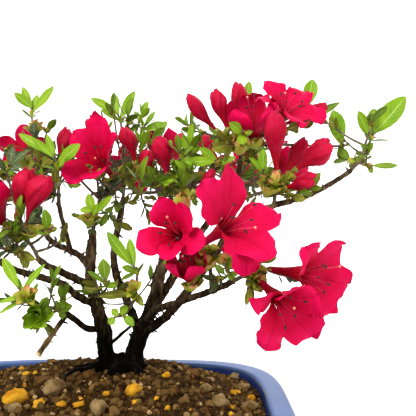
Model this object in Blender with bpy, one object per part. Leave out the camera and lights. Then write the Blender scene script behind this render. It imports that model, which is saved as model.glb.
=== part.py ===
"""Azalea bonsai with a forked trunk, in a rounded rectangular glazed pot.

The origin is the middle of the pot's flat underside. +X is to the right, +Y to the back, +Z up.
Sizes below are in millimetres and become metres where a mesh is made.
"""

import math
import random

import bmesh
import bpy
from mathutils import Matrix, Vector, noise
from mathutils.bvhtree import BVHTree
from mathutils.geometry import interpolate_bezier

MM = 0.001
GAP = 0.3  # clearance between neighbouring solids

# Pot: a rounded rectangle, whose outline is a superellipse
POT_HALF_LENGTH = 106.0
POT_HALF_DEPTH = 89.5
POT_POWER = 4.0
POT_HEIGHT = 62.0
POT_SIDES = 40
LIP_WIDTH = 12.0
LIP_THICKNESS = 6.0
WALL = 5.5
FLOOR = 7.0
FOOT_HEIGHT = 6.0
FOOT_INSET = 20.0
DRAIN_RADIUS = 6.0
DRAIN_X = 38.0

# Soil: a mound round the trunk that falls to the pot's wall
TRUNK_X, TRUNK_Y = 17.0, 20.0
GROUND_Z = 73.0
SOIL_EDGE_Z = 57.0
PLATEAU_RADIUS = 22.0
SOIL_RINGS = 9
LUMP = 0.9  # height of the soil's unevenness
CLOD_STEP = 20.0  # between the larger clods in the soil
CLOD_SIZE = (3.5, 5.5)
CLOD_CLEAR = 30.0  # from the trunk

# Trunk: a flared foot that forks into two legs
FORK_Z = 82.0
ROOT_COUNT = 6
ROOT_REACH = 14.0
ROOT_RADIUS = 2.6

# Foliage
TWIG_RADIUS = 0.75
TWIG_SIDES = 3
LEAF_WIDTH = 0.5  # of its length
LEAF_THICKNESS = 0.07  # of its length
ROOTED = 1.6  # how far a bloom is sunk in its twig
LEAF_STEP = 1.5  # between one leaf and the next down a shoot
PETALS = 5
MOUTH_DEPTH = 40.0  # the space kept free in front of an open flower
FILL_LEAF_LENGTH = (12, 17)
FILL_LEAF_COUNT = (3, 4, 5)
GOLDEN_ANGLE = math.radians(137.5)

# Limbs, thickest first: the route's points, the radius at its foot and at its tip, and the limb that carries it.
# A limb starts inside its carrier and is then cut clear of it.
LIMBS = {
    "left_stem": dict(
        on="left_leg",
        route=[(10, 20, 79), (9, 18, 93), (6, 16, 106), (3, 15, 117), (2, 16, 130), (3, 15, 141), (4, 12, 147)],
        radius=(4.1, 1.7),
    ),
    "right_stem": dict(
        on="right_leg",
        route=[(24.5, 20, 79), (28, 20, 91), (33, 21, 103), (37, 23, 118), (40, 27, 132), (43, 29, 147), (44, 29, 158)],
        radius=(4.6, 1.4),
    ),
    "centre_bough": dict(
        on="right_stem",
        route=[(27, 21, 93), (20, 29, 107), (13, 33, 122), (11, 36, 136), (13, 40, 150), (15, 44, 166)],
        radius=(2.3, 1.3),
    ),
    "right_back_bough": dict(
        on="right_stem",
        route=[(31, 20.5, 101), (42, 33, 116), (50, 44, 131), (61, 52, 147), (72, 58, 163)],
        radius=(2.4, 1.3),
    ),
    "right_bough": dict(
        on="right_stem",
        route=[(28, 20, 91), (41, 14, 101), (50, 11, 111), (59, 6, 123), (71, 0, 140), (80, -3, 152), (90, -4, 158.5)],
        radius=(2.2, 1.4),
    ),
    "front_bough": dict(
        on="right_stem",
        route=[(29.5, 20, 97), (38, 4, 107), (49, -6, 112), (58, -13, 116), (67, -20, 120), (76, -25, 124.5)],
        radius=(1.7, 1.1),
    ),
    "right_inner_bough": dict(
        on="right_stem",
        route=[(38, 25, 126), (46, 24, 138), (52, 20, 149), (54, 17, 158)],
        radius=(1.5, 1.0),
    ),
    "top_right_bough": dict(
        on="right_bough",
        route=[(68, 1.5, 136), (76, 9, 151), (80, 12, 168), (81, 14, 184)],
        radius=(1.3, 1.1),
    ),
    "right_arm": dict(
        on="right_bough",
        route=[(86, -3.6, 156), (98, -3, 160), (115, 4, 165), (129, 10, 172), (140, 14, 179)],
        radius=(1.35, 0.9),
    ),
    "left_low_bough": dict(
        on="left_stem",
        route=[(8, 17.5, 95), (2, 9, 97), (-3, 2, 103), (-7, -2, 107)],
        radius=(1.4, 1.2),
    ),
    "cut_spur": dict(
        on="left_low_bough",
        route=[(-6, -1, 105.5), (-11, -4.5, 98), (-18, -8, 87)],
        radius=(0.95, 1.1),
    ),
    "left_bough": dict(
        on="left_stem",
        route=[(3, 15, 117), (-3, 8, 122), (-9, 2, 126), (-15, -4, 130), (-19, -7, 134)],
        radius=(1.9, 1.2),
    ),
    "far_left_bough": dict(
        on="left_stem",
        route=[(5.5, 15.5, 108), (-2, 8, 113), (-8, 1, 120), (-17, -4, 124), (-32, -6, 129), (-46, -2, 136)],
        radius=(1.8, 1.1),
    ),
    "left_back_bough": dict(
        on="left_stem",
        route=[(2, 15.7, 127), (-4, 20, 133), (-12, 22, 137), (-21, 25, 141), (-30, 34, 150), (-36, 44, 163)],
        radius=(1.6, 1.0),
    ),
    "left_rising_bough": dict(
        on="left_back_bough",
        route=[(-10, 21.5, 136.5), (-12, 17, 148), (-14, 11, 162)],
        radius=(1.0, 0.85),
    ),
    "crossing_twig": dict(
        on="left_stem",
        route=[(9.4, 18.7, 86), (14.5, 13.5, 89), (20, 12, 94), (26, 11.5, 99)],
        radius=(0.7, 0.45),
    ),
}

# Foliage masses. Each has the limb that carries it and the point inside that limb where its stem starts, its heart,
# the half-sizes of the space that it keeps to, and what grows in it:
#   blooms: kind, foot, tip (both as x, y, z) and greatest width; tufts: foot, tip, leaf length, leaf count;
#   fill: how many shoots the seeded rule adds, and seed: where that rule starts.
MASSES = {
    "front_bloom": dict(
        on="front_bough", root=(66, -19.2, 119.5), heart=(65, -27, 134), space=(34, 30, 32), fill=0, seed=11,
        blooms=[("open", (62.5, -34.5, 142.3), (78, -55, 153.5), 40), ("open", (54, -28, 143), (48.5, -46, 147.5), 29),
                ("cup", (56, -34, 125), (55, -40, 136), 16)],
        tufts=[((70, -28, 126), (63, -33, 124), 8, 3), ((70, -30, 136), (77, -34, 133), 8, 3)],
    ),
    "low_right_bloom": dict(
        on="front_bough", root=(75, -24.5, 124), heart=(84, -26, 127), space=(40, 34, 32), fill=0, seed=12,
        blooms=[("open", (87, -30, 125.5), (98, -51, 115), 36), ("open", (92, -24, 130), (113, -41, 128), 36),
                ("cup", (87, -21, 129), (80, -13, 143), 18)],
        tufts=[((82, -30, 126), (83, -33, 116), 9, 3), ((88, -20, 132), (93, -18, 139), 9, 3)],
    ),
    "top_right_bloom": dict(
        on="top_right_bough", root=(80.8, 13.8, 182), heart=(84, 15, 196), space=(42, 34, 34), fill=6, seed=13,
        blooms=[("bud", (70, 14, 199), (54, 8, 217), 8), ("bud", (75, 13, 199), (67.5, 11, 221.5), 8),
                ("bud", (79, 20, 201), (80.7, 22, 227.5), 8), ("cup", (89, 14, 194), (86.5, 1, 212), 23),
                ("open", (100, 17, 202), (108, 4, 215), 32), ("bud", (103, 20, 204), (127, 16, 214), 9),
                ("cup", (88, 32, 200), (86, 46, 216), 24)],
        tufts=[((78, 8, 192), (70, -2, 190), 12, 4)],
    ),
    "right_bud_cluster": dict(
        on="right_arm", root=(97, -3.1, 159.8), heart=(98, -3, 167), space=(30, 26, 30), fill=3, seed=14,
        blooms=[("bud", (101, -3, 167.5), (117, -11, 173.5), 10.5), ("bud", (98, -8, 174.5), (96, -19, 203.5), 10),
                ("bud", (107, 0, 177), (125, -5, 190.5), 11), ("bud", (103, 10, 173), (116, 18, 196), 9)],
        tufts=[((104, -5, 165), (108, -12, 161), 8, 3), ((92, -6, 172), (90, -10, 184), 11, 4)],
    ),
    "right_tip_leaves": dict(
        on="right_arm", root=(139.4, 13.8, 178.6), heart=(147, 17, 184), space=(36, 30, 36), fill=4, seed=15,
        blooms=[],
        tufts=[((142, 18, 184), (136, 26, 188), 11, 4)],
    ),
    "crown_leaves": dict(
        on="right_inner_bough", root=(53.8, 17.3, 157), heart=(55, 18, 172), space=(22, 30, 34), fill=8, seed=16,
        blooms=[("bud", (56, 5, 166), (67, 5, 178), 7), ("bud", (62, 20, 180), (66, 14, 190), 8)],
        tufts=[((55, 32, 203), (49, 42, 216), 13, 4), ((56, 24, 186), (54, 20, 199), 14, 5),
               ((51, 9, 167), (51, 3, 181), 15, 4)],
    ),
    "crown_middle": dict(
        on="right_stem", root=(43.9, 29, 157), heart=(38, 26, 170), space=(22, 26, 32), fill=6, seed=17,
        blooms=[("bud", (43, 12, 173), (38, 8, 196), 10), ("bud", (31, 29, 176), (30, 31, 192), 9),
                ("bud", (24, 27, 183), (17, 29, 204), 10)],
        tufts=[((30, 7, 168), (30, 2, 182), 15, 3), ((36, 6, 170), (44, -2, 176), 13, 3), ((26, 36, 192), (26, 38, 203), 11, 4)],
    ),
    "crown_left_bloom": dict(
        on="left_stem", root=(3.7, 12.8, 145.5), heart=(7, 17, 166), space=(26, 26, 36), fill=7, seed=18,
        blooms=[("open", (12, 24, 177), (6, 6, 186), 34), ("bud", (2, 30, 180), (-4, 38, 200), 9)],
        tufts=[((-8, 22, 178), (-16, 18, 190), 13, 4), ((22, 14, 176), (24, 4, 172), 9, 4)],
    ),
    "left_shoots": dict(
        on="left_rising_bough", root=(-13.8, 11.6, 160.5), heart=(-13, 8, 171), space=(20, 24, 32), fill=3, seed=19,
        blooms=[],
        tufts=[((-15, 7, 165), (-21, -2, 166), 10, 5), ((-12, 12, 178), (-14, 24, 194), 11, 4)],
    ),
    "left_bloom": dict(
        on="left_bough", root=(-18.2, -6.4, 133), heart=(-24, -8, 143), space=(26, 28, 36), fill=4, seed=20,
        blooms=[("bud", (-29, -8, 153), (-23, -10, 177), 10), ("bud", (-23, -10, 150), (-13, -14, 174), 10),
                ("cup", (-36, -4, 150), (-46, -12, 167), 22)],
        tufts=[((-25, -15, 139), (-20, -23, 134), 10, 4), ((-30, -12, 138), (-38, -22, 141), 13, 5)],
    ),
    "lower_left_leaves": dict(
        on="left_low_bough", root=(-6.4, -1.4, 106.3), heart=(-13, -14, 111), space=(26, 30, 28), fill=3, seed=21,
        blooms=[],
        tufts=[((-15, -16, 107), (-10, -20, 102), 8, 4), ((-7, -6, 110), (-5, -9, 118), 9, 4)],
    ),
    "far_left_bloom": dict(
        on="far_left_bough", root=(-44.5, -2.4, 135.2), heart=(-57, 4, 146), space=(36, 38, 38), fill=9, seed=22,
        blooms=[("open", (-64, -10, 156), (-72, -24, 166), 34), ("bud", (-56, -16, 157), (-60, -24, 179), 10),
                ("cup", (-72, 12, 160), (-86, 16, 174), 26), ("bud", (-62, 20, 164), (-62, 26, 188), 10)],
        tufts=[((-48, -8, 140), (-46, -20, 134), 13, 5), ((-56, -16, 146), (-62, -28, 142), 14, 5)],
    ),
    "back_left_crown": dict(
        on="left_back_bough", root=(-35.4, 42.8, 161.6), heart=(-40, 52, 180), space=(34, 38, 44), fill=10, seed=23,
        blooms=[("open", (-50, 66, 190), (-56, 82, 200), 33), ("bud", (-30, 66, 188), (-26, 72, 211), 10),
                ("cup", (-60, 48, 182), (-74, 44, 194), 25)],
        tufts=[((-31, 42, 188), (-43, 36, 200), 16, 4)],
    ),
    "back_middle_crown": dict(
        on="centre_bough", root=(14.8, 43.6, 164.5), heart=(14, 58, 186), space=(34, 34, 50), fill=11, seed=24,
        blooms=[("open", (14, 78, 184), (10, 96, 188), 34), ("cup", (30, 72, 192), (38, 84, 206), 26),
                ("bud", (-2, 62, 196), (-10, 66, 217), 10)],
        tufts=[((30, 56, 200), (37, 56, 214), 12, 4)],
    ),
    "back_right_crown": dict(
        on="right_back_bough", root=(71.2, 57.6, 161.8), heart=(80, 66, 178), space=(40, 36, 38), fill=13, seed=25,
        blooms=[("open", (84, 86, 182), (88, 102, 190), 34), ("cup", (106, 74, 182), (122, 76, 192), 26),
                ("bud", (92, 66, 194), (96, 64, 216), 10), ("bud", (66, 78, 188), (62, 86, 210), 10)],
        tufts=[],
    ),
    "inner_shoot": dict(
        on="centre_bough", root=(21.5, 27, 104), heart=(26, 17, 111), space=(24, 26, 34), fill=0, seed=26,
        blooms=[],
        tufts=[],
    ),
    "left_inner_shoot": dict(
        on="left_stem", root=(5, 15.6, 110), heart=(10, 9, 115), space=(16, 22, 24), fill=0, seed=27,
        blooms=[],
        tufts=[((10, 5, 117), (4, 0, 122), 9, 3)],
    ),
}

# The sprays of leaves that stand out: the foot of each, and the tip and width of its leaves
SPRAYS = {
    "back_left_crown": [
        ((-44, 60, 217), [((-54, 58, 231), 6), ((-51, 62, 235), 5), ((-30, 58, 235), 6), ((-42, 64, 231), 5)]),
    ],
    "back_middle_crown": [
        ((9, 70, 215), [((-9, 68, 231), 6), ((3, 74, 235), 6), ((19, 68, 234), 7), ((-2, 64, 222), 5)]),
        ((23, 68, 209), [((18, 68, 222), 3.5), ((30, 72, 223), 3.5), ((36, 64, 214), 5)]),
    ],
    "left_shoots": [
        ((-12, 3, 179), [((-34, 6, 197), 5), ((-24, 0, 194), 4), ((-18, 2, 196), 4), ((0, 0, 191), 7.5),
                          ((-3, -8, 186), 7)]),
    ],
    "left_bloom": [
        ((-35, -6, 177), [((-33, -4, 189), 4), ((-23, -12, 187), 4), ((-25, -14, 178), 5)]),
    ],
    "lower_left_leaves": [
        ((-17, -22, 117), [((-31, -20, 135), 6), ((-10, -26, 132), 4.5), ((-27, -18, 126), 4), ((-31, -26, 115), 3.5),
                            ((-32, -24, 110), 3.5)]),
    ],
    "inner_shoot": [
        ((28, 6, 126), [((12, 4, 146), 6), ((23, 9, 143), 5), ((22, -2, 129), 4)]),
        ((26, 8, 116), [((9, 4, 114), 5), ((32, 2, 110), 4)]),
        ((21, 8, 104), [((14, 4, 100), 4.5), ((15, 8, 107), 4), ((22, 10, 109), 4.5), ((27, 4, 99), 4.5)]),
    ],
    "left_inner_shoot": [
        ((13, 4, 119), [((12, 2, 133), 6.5), ((4, 0, 127), 3), ((19, -2, 120), 4)]),
    ],
    "crown_left_bloom": [
        ((5, 4, 153), [((0, 0, 158), 4), ((4, 2, 166), 5), ((17, -2, 165), 4), ((10, -6, 160), 4)]),
    ],
    "crown_leaves": [
        ((71, 6, 181), [((53, -2, 182), 5.5), ((60, 4, 190), 5), ((78, 2, 185), 4)]),
    ],
    "top_right_bloom": [
        ((119, 24, 215), [((122, 26, 231), 8)]),
        ((116, 28, 206), [((138, 32, 220), 5), ((127, 36, 212), 5)]),
        ((137, 22, 193), [((131, 20, 212), 10)]),
        ((86, 28, 217), [((87, 30, 231), 5), ((81, 36, 226), 5)]),
    ],
    "right_tip_leaves": [
        ((152, 19, 196), [((171, 16, 217), 11.5), ((161, 24, 214), 7), ((144, 16, 211), 7)]),
        ((148, 15, 182), [((164, 12, 181), 4), ((142, 20, 186), 4), ((153, 18, 178), 4)]),
    ],
}

COLOURS = {
    "glaze": ((0.12, 0.25, 0.62), 0.18),
    "soil": ((0.12, 0.075, 0.045), 0.95),
    "bark": ((0.07, 0.045, 0.03), 0.9),
    "leaf": ((0.18, 0.36, 0.05), 0.55),
}


def make_material(name):
    colour, roughness = COLOURS[name]
    made = bpy.data.materials.new(name)
    made.use_nodes = True
    shader = made.node_tree.nodes["Principled BSDF"]
    shader.inputs["Base Color"].default_value = (*colour, 1)
    shader.inputs["Roughness"].default_value = roughness
    shader.inputs["Metallic"].default_value = 0
    return made


def add_object(name, shape, material, collection=None, smooth_below=50):
    """One object from (points in mm, faces). It is shaded smooth where its faces meet at less than that angle."""
    points, faces = shape
    mesh = bpy.data.meshes.new(name)
    mesh.from_pydata([Vector(p) * MM for p in points], [], faces)
    mesh.materials.append(material)
    mesh.shade_smooth()
    mesh.set_sharp_from_angle(angle=math.radians(smooth_below))
    made = bpy.data.objects.new(name, mesh)
    (collection or bpy.context.scene.collection).objects.link(made)
    return made


# Plain shapes, each as (points, faces) in millimetres


def smooth_route(points, steps):
    """A smooth curve through the points, as Bezier spans with that many steps each."""
    knots = [Vector(p) for p in points]
    found = [knots[0]]
    for i, (a, b) in enumerate(zip(knots, knots[1:])):
        before = knots[i - 1] if i else a
        after = knots[i + 2] if i + 2 < len(knots) else b
        span = interpolate_bezier(a, a + (b - before) / 6, b - (after - a) / 6, b, steps + 1)
        found += span[1:]
    return found


def tube(route, radii, sides, stretch=0.0):
    """A closed tube along a route, tapering from radii[0] to radii[1]. Its ends reach stretch further."""
    route = [Vector(p) for p in route]
    tangents = [(route[min(i + 1, len(route) - 1)] - route[max(i - 1, 0)]).normalized() for i in range(len(route))]
    route[0] -= tangents[0] * stretch
    route[-1] += tangents[-1] * stretch
    side = tangents[0].orthogonal().normalized()
    points = []
    for i, (place, along) in enumerate(zip(route, tangents)):
        side = (side - along * side.dot(along)).normalized()
        other = along.cross(side)
        radius = radii[0] + (radii[1] - radii[0]) * i / (len(route) - 1)
        for k in range(sides):
            turn = 2 * math.pi * k / sides
            points.append(place + radius * (side * math.cos(turn) + other * math.sin(turn)))
    return points, loft_faces(len(route), sides, capped=True)


def loft_faces(rings, sides, capped):
    faces = []
    for ring in range(rings - 1):
        for k in range(sides):
            a, b = ring * sides + k, ring * sides + (k + 1) % sides
            faces.append((a, b, b + sides, a + sides))
    if capped:
        faces.append(tuple(reversed(range(sides))))
        faces.append(tuple(range((rings - 1) * sides, rings * sides)))
    return faces


def rounded_rectangle(half_x, half_y, z, centre=(0.0, 0.0), power=POT_POWER, sides=POT_SIDES):
    outline = []
    for k in range(sides):
        turn = 2 * math.pi * (k + 0.5) / sides
        c, s = math.cos(turn), math.sin(turn)
        x = half_x * math.copysign(abs(c) ** (2 / power), c)
        y = half_y * math.copysign(abs(s) ** (2 / power), s)
        outline.append(Vector((centre[0] + x, centre[1] + y, z)))
    return outline


def turned(profile, foot, tip, sides, lobe=None):
    """A closed shape round the line from foot to tip. Each profile row is (share of the line, radius, lobe share):
    with lobes, every second corner keeps only that share of the radius."""
    axis = Vector(tip) - Vector(foot)
    side = axis.orthogonal().normalized()
    other = axis.normalized().cross(side)
    points = []
    for share, radius, lobes in profile:
        for k in range(sides):
            turn = 2 * math.pi * k / sides
            reach = radius * (lobes if k % 2 else 1)
            points.append(Vector(foot) + axis * share + reach * (side * math.cos(turn) + other * math.sin(turn)))
    return points, loft_faces(len(profile), sides, capped=True)


def leaf(foot, tip, face_up, width=None):
    """A leaf of eight faces: its foot, its tip, its two edges, and a low keel above and below."""
    foot, tip = Vector(foot), Vector(tip)
    along = (tip - foot).normalized()
    length = (tip - foot).length
    across = along.cross(Vector(face_up)).normalized()
    upward = across.cross(along)
    middle = foot.lerp(tip, 0.58)
    half, thick = (width or length * LEAF_WIDTH) / 2, length * LEAF_THICKNESS / 2
    points = [foot, tip, middle - across * half, middle + across * half, middle + upward * thick, middle - upward * thick]
    faces = [(0, 3, 4), (3, 1, 4), (1, 2, 4), (2, 0, 4), (3, 0, 5), (1, 3, 5), (2, 1, 5), (0, 2, 5)]
    return points, faces


def leaf_tuft(foot, tip, length, count, rng):
    """The end of a shoot and its leaves, from the top one down: each stands a golden turn on from the last,
    a step lower, and leans out further. Returns the shoot's end and the leaves."""
    foot, tip = Vector(foot), Vector(tip)
    axis = (tip - foot).normalized()
    side = axis.orthogonal().normalized()
    end = foot + axis * LEAF_STEP * count
    found = []
    for k in range(count):
        out = Matrix.Rotation(k * GOLDEN_ANGLE + rng.uniform(-0.3, 0.3), 3, axis) @ side
        lean = math.radians(14 + 38 * k / max(count - 1, 1))
        heading = axis * math.cos(lean) + out * math.sin(lean)
        start = end - axis * (LEAF_STEP * k + ROOTED * 0.6)
        found.append(leaf(start, start + heading * length * rng.uniform(0.9, 1.0), axis * 0.4 - out))
    return end, found


def leaf_spray(foot, blades):
    """Leaves whose tips are given, each a step further down the shoot. Returns the shoot's end and the leaves."""
    foot = Vector(foot)
    axis = (sum((Vector(tip) for tip, _ in blades), Vector()) / len(blades) - foot).normalized()
    end = foot + axis * LEAF_STEP * len(blades)
    leaves = []
    for k, (tip, width) in enumerate(blades):
        start = end - axis * (LEAF_STEP * k + ROOTED * 0.6)
        leaves.append(leaf(start, tip, (0, -1, 0.4), width))
    return end, leaves


def bloom(kind, foot, tip, width):
    """A closed bud, a half-open cup or an open flower, as one closed shape sunk in its twig."""
    foot, tip = Vector(foot), Vector(tip)
    foot = foot - (tip - foot).normalized() * ROOTED
    half = width / 2
    if kind == "bud":
        return turned([(0, 1.0, 1), (0.32, half * 0.45, 1), (0.7, half, 1), (1, half * 0.4, 1)], foot, tip, 6)
    if kind == "cup":
        rows = [(0, 1.1, 1), (0.45, half * 0.8, 1), (1, half, 0.8), (0.5, half * 0.4, 1)]
    else:
        rows = [(0, 1.1, 1), (0.45, half * 0.2, 1), (1, half, 0.74), (0.58, half * 0.14, 1)]
    return turned(rows, foot, tip, 2 * PETALS)


# Pot and soil


def make_pot(material):
    x, y, rim = POT_HALF_LENGTH, POT_HALF_DEPTH, POT_HEIGHT
    rows = [  # how far in from the lip's outer edge, and the height: up the outside, over the lip, down the inside
        (FOOT_INSET, 0), (FOOT_INSET - 1, FOOT_HEIGHT), (FOOT_INSET - 6, FOOT_HEIGHT + 1.5), (LIP_WIDTH - 1, 24),
        (LIP_WIDTH - WALL + 1.5, rim - LIP_THICKNESS - 2), (0.8, rim - LIP_THICKNESS), (0, rim - 3), (2, rim),
        (LIP_WIDTH - 1.4, rim), (LIP_WIDTH, rim - 1.4), (FOOT_INSET, FLOOR + 4), (FOOT_INSET + 4, FLOOR),
    ]
    points = []
    for inset, z in rows:
        points += rounded_rectangle(x - inset, y - inset, z)
    pot = add_object("pot", (points, loft_faces(len(rows), POT_SIDES, capped=True)), material, smooth_below=40)
    for place in (-DRAIN_X, DRAIN_X):
        drain = tube([(place, 0, -5), (place, 0, FLOOR + 5)], (DRAIN_RADIUS, DRAIN_RADIUS), 12)
        cut_by(pot, add_cutter("drain_cutter", drain), "drain_hole")
    return pot


def soil_height(share):
    """Height of the mound from its flat top, at share 0, to the pot's wall, at share 1."""
    eased = share * share * (3 - 2 * share)
    return GROUND_Z + (SOIL_EDGE_Z - GROUND_Z) * (0.45 * share + 0.55 * eased)


def lump(x, y, share):
    """The unevenness of the soil, with a low heap behind the trunk, to its left. It calms down at the wall."""
    place = Vector((x, y, 3.0))
    coarse = noise.noise(place * 0.07) * 1.3 + noise.noise(place * 0.2) * 0.7
    heap = math.exp(-((x + 40) ** 2 + (y - 40) ** 2) / 700) * 2.2
    return (coarse * LUMP + heap) * (1 - max(0.0, share - 0.8) / 0.2 * 0.7) * min(1.0, share * 5)


def soil_share(x, y):
    """How far a point lies from the flat round the trunk, at 0, towards the pot's wall, at 1."""
    away = Vector((x - TRUNK_X, y - TRUNK_Y))
    half_x, half_y = POT_HALF_LENGTH - LIP_WIDTH - GAP - 0.7, POT_HALF_DEPTH - LIP_WIDTH - GAP - 0.7
    low, high = 0.0, 250.0
    for _ in range(22):
        far = (low + high) / 2
        px, py = TRUNK_X + away.normalized().x * far, TRUNK_Y + away.normalized().y * far
        inside = abs(px / half_x) ** POT_POWER + abs(py / half_y) ** POT_POWER < 1
        low, high = (far, high) if inside else (low, far)
    return max(0.0, (away.length - PLATEAU_RADIUS) / (low - PLATEAU_RADIUS))


def ground_at(x, y):
    share = soil_share(x, y)
    return soil_height(share) + lump(x, y, share)


def clod_places():
    """The larger clods, jittered about a square grid."""
    rng = random.Random(31)
    for row in range(-4, 5):
        for column in range(-5, 6):
            x, y = (column + rng.uniform(-0.35, 0.35)) * CLOD_STEP, (row + rng.uniform(-0.35, 0.35)) * CLOD_STEP
            size = rng.uniform(*CLOD_SIZE)
            if math.hypot(x - TRUNK_X, y - TRUNK_Y) > CLOD_CLEAR and soil_share(x, y) < 0.92:
                yield x, y, size


def make_soil(material):
    inner_x, inner_y = POT_HALF_LENGTH - LIP_WIDTH - GAP, POT_HALF_DEPTH - LIP_WIDTH - GAP
    low = FOOT_INSET + 4 + GAP
    points = rounded_rectangle(POT_HALF_LENGTH - low, POT_HALF_DEPTH - low, FLOOR + GAP)
    points += rounded_rectangle(POT_HALF_LENGTH - FOOT_INSET - GAP, POT_HALF_DEPTH - FOOT_INSET - GAP, FLOOR + 4 + GAP)
    for ring in range(SOIL_RINGS + 1):
        share = 1 - ring / SOIL_RINGS
        wall = rounded_rectangle(inner_x - 0.7, inner_y - 0.7, 0)
        top = rounded_rectangle(PLATEAU_RADIUS, PLATEAU_RADIUS, 0, (TRUNK_X, TRUNK_Y), power=2)
        for outer, inner in zip(wall, top):
            place = inner.lerp(outer, share)
            place.z = soil_height(share) + (lump(place.x, place.y, share) if 0 < share < 1 else 0)
            points.append(place)
    soil = add_object("soil", (points, loft_faces(SOIL_RINGS + 3, POT_SIDES, capped=True)), material)
    pieces = bpy.data.collections.new("clods")
    bpy.context.scene.collection.children.link(pieces)
    for k, (x, y, size) in enumerate(clod_places()):
        low, high = Vector((x, y, ground_at(x, y) - size * 0.45)), Vector((x, y, ground_at(x, y) + size * 0.4))
        shape = turned([(0, size * 0.3, 1), (0.5, size * 0.5, 1), (1, size * 0.25, 1)], low, high, 6)
        add_object(f"clod_{k}", shape, material, pieces)
    join_all(soil, pieces)


# Trunk and limbs


def add_cutter(name, shape):
    cutter = add_object(name, shape, bpy.data.materials["bark"])
    cutter.hide_render = True
    cutter.display_type = "WIRE"
    return cutter


def cut_by(obj, cutter, name):
    cut = obj.modifiers.new(name, "BOOLEAN")
    cut.operation = "DIFFERENCE"
    cut.solver = "EXACT"
    cut.object = cutter


def join_all(base, pieces):
    """Joins the pieces, objects of one collection, onto base by one Boolean union, applies it and removes them."""
    union = base.modifiers.new("union", "BOOLEAN")
    union.operation = "UNION"
    union.operand_type = "COLLECTION"
    union.collection = pieces
    union.solver = "MANIFOLD"
    graph = bpy.context.evaluated_depsgraph_get()
    joined = bpy.data.meshes.new_from_object(base.evaluated_get(graph))
    base.modifiers.clear()
    base.data = joined
    for piece in list(pieces.objects):
        bpy.data.objects.remove(piece)
    bpy.data.collections.remove(pieces)


LEGS = {
    "left_leg": dict(route=[(13.5, 20, 66), (11, 20, 75), (10, 20, FORK_Z)], radius=(7.0, 4.3)),
    "right_leg": dict(route=[(20.5, 20, 66), (24, 20, 75), (25, 20, FORK_Z)], radius=(7.5, 4.8)),
}


def make_trunk(material):
    pieces = bpy.data.collections.new("trunk_pieces")
    bpy.context.scene.collection.children.link(pieces)
    saddle = [(TRUNK_X, TRUNK_Y, 64), (TRUNK_X, TRUNK_Y, 72), (TRUNK_X, TRUNK_Y, 79)]
    trunk = add_object("trunk", tube(saddle, (13.0, 6.0), 14), material)
    for name, leg in LEGS.items():
        add_object(name, tube(smooth_route(leg["route"], 2), leg["radius"], 12), material, pieces)
    for k in range(ROOT_COUNT):
        turn = 2 * math.pi * (k + 0.3) / ROOT_COUNT
        out = Vector((1.15 * math.cos(turn), 0.9 * math.sin(turn), 0))
        reach = ROOT_REACH * (1.25 if k % 2 else 1.0)
        middle = Vector((TRUNK_X, TRUNK_Y, 0))
        route = [middle + out * 3 + Vector((0, 0, 79)), middle + out * reach * 0.62 + Vector((0, 0, 75)),
                 middle + out * (reach + 4) + Vector((0, 0, 70.5))]
        add_object(f"root_{k}", tube(smooth_route(route, 2), (ROOT_RADIUS * 1.3, ROOT_RADIUS * 0.7), 7), material, pieces)
    join_all(trunk, pieces)
    below = tube([(TRUNK_X, TRUNK_Y, 50), (TRUNK_X, TRUNK_Y, GROUND_Z + GAP)], (60, 60), 24)
    cut_by(trunk, add_cutter("ground_cutter", below), "flat_foot")
    return trunk


def limb_route(name):
    return smooth_route(LIMBS[name]["route"], 2)


def limb_sides(name):
    thickest = LIMBS[name]["radius"][0]
    return 10 if thickest > 3 else 8 if thickest > 1.8 else 6


def swollen(name):
    """The limb or leg, larger all round by the clearance, to cut its neighbours clear of it."""
    if name in LEGS:
        route, radius, sides = smooth_route(LEGS[name]["route"], 2), LEGS[name]["radius"], 12
    else:
        route, radius, sides = limb_route(name), LIMBS[name]["radius"], limb_sides(name)
    return tube(route, (radius[0] + GAP, radius[1] + GAP), sides, stretch=GAP)


def make_limb(name, material):
    radius, carrier = LIMBS[name]["radius"], LIMBS[name]["on"]
    limb = add_object(name, tube(limb_route(name), radius, limb_sides(name)), material)
    cut_by(limb, add_cutter(f"{name}_seat", swollen(carrier)), "clear_of_carrier")
    return limb


# Foliage


def tree_of(shape):
    return BVHTree.FromPolygons(*shape)


def clear_of(shape, others):
    """True if the shape neither cuts nor comes close to any of the other shapes' trees."""
    own = tree_of(shape)
    if any(own.overlap(other) for other in others):
        return False
    return all(other.find_nearest(p, 2 * GAP)[0] is None for other in others for p in shape[0])


def in_space(shape, mass):
    heart, space = mass["heart"], mass["space"]
    return all(sum(((p[i] - heart[i]) / space[i]) ** 2 for i in range(3)) <= 1 for p in shape[0])


def clear_of_mouths(shape):
    """Whether a leaf keeps out of the space in front of every open flower."""
    for mass in MASSES.values():
        for kind, foot, tip, width in mass["blooms"]:
            axis = (Vector(tip) - Vector(foot)).normalized()
            for p in shape[0] if kind != "bud" else ():
                ahead = (p - Vector(tip)).dot(axis)
                aside = ((p - Vector(tip)) - axis * ahead).length
                if 0 < ahead < MOUTH_DEPTH and aside < width * 0.45:
                    return False
    return True


def stem_of(mass):
    root, heart = Vector(mass["root"]), Vector(mass["heart"])
    return smooth_route([root, root.lerp(heart, 0.5) + Vector((0, 0, 1)), heart], 3)


def leaving(stem, place):
    """The point of the stem, clear of its two ends, that lies nearest to a place."""
    return min(stem[2:-1], key=lambda p: (p - Vector(place)).length)


def twig(route):
    return tube(route, (TWIG_RADIUS, TWIG_RADIUS * 0.85), TWIG_SIDES)


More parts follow.
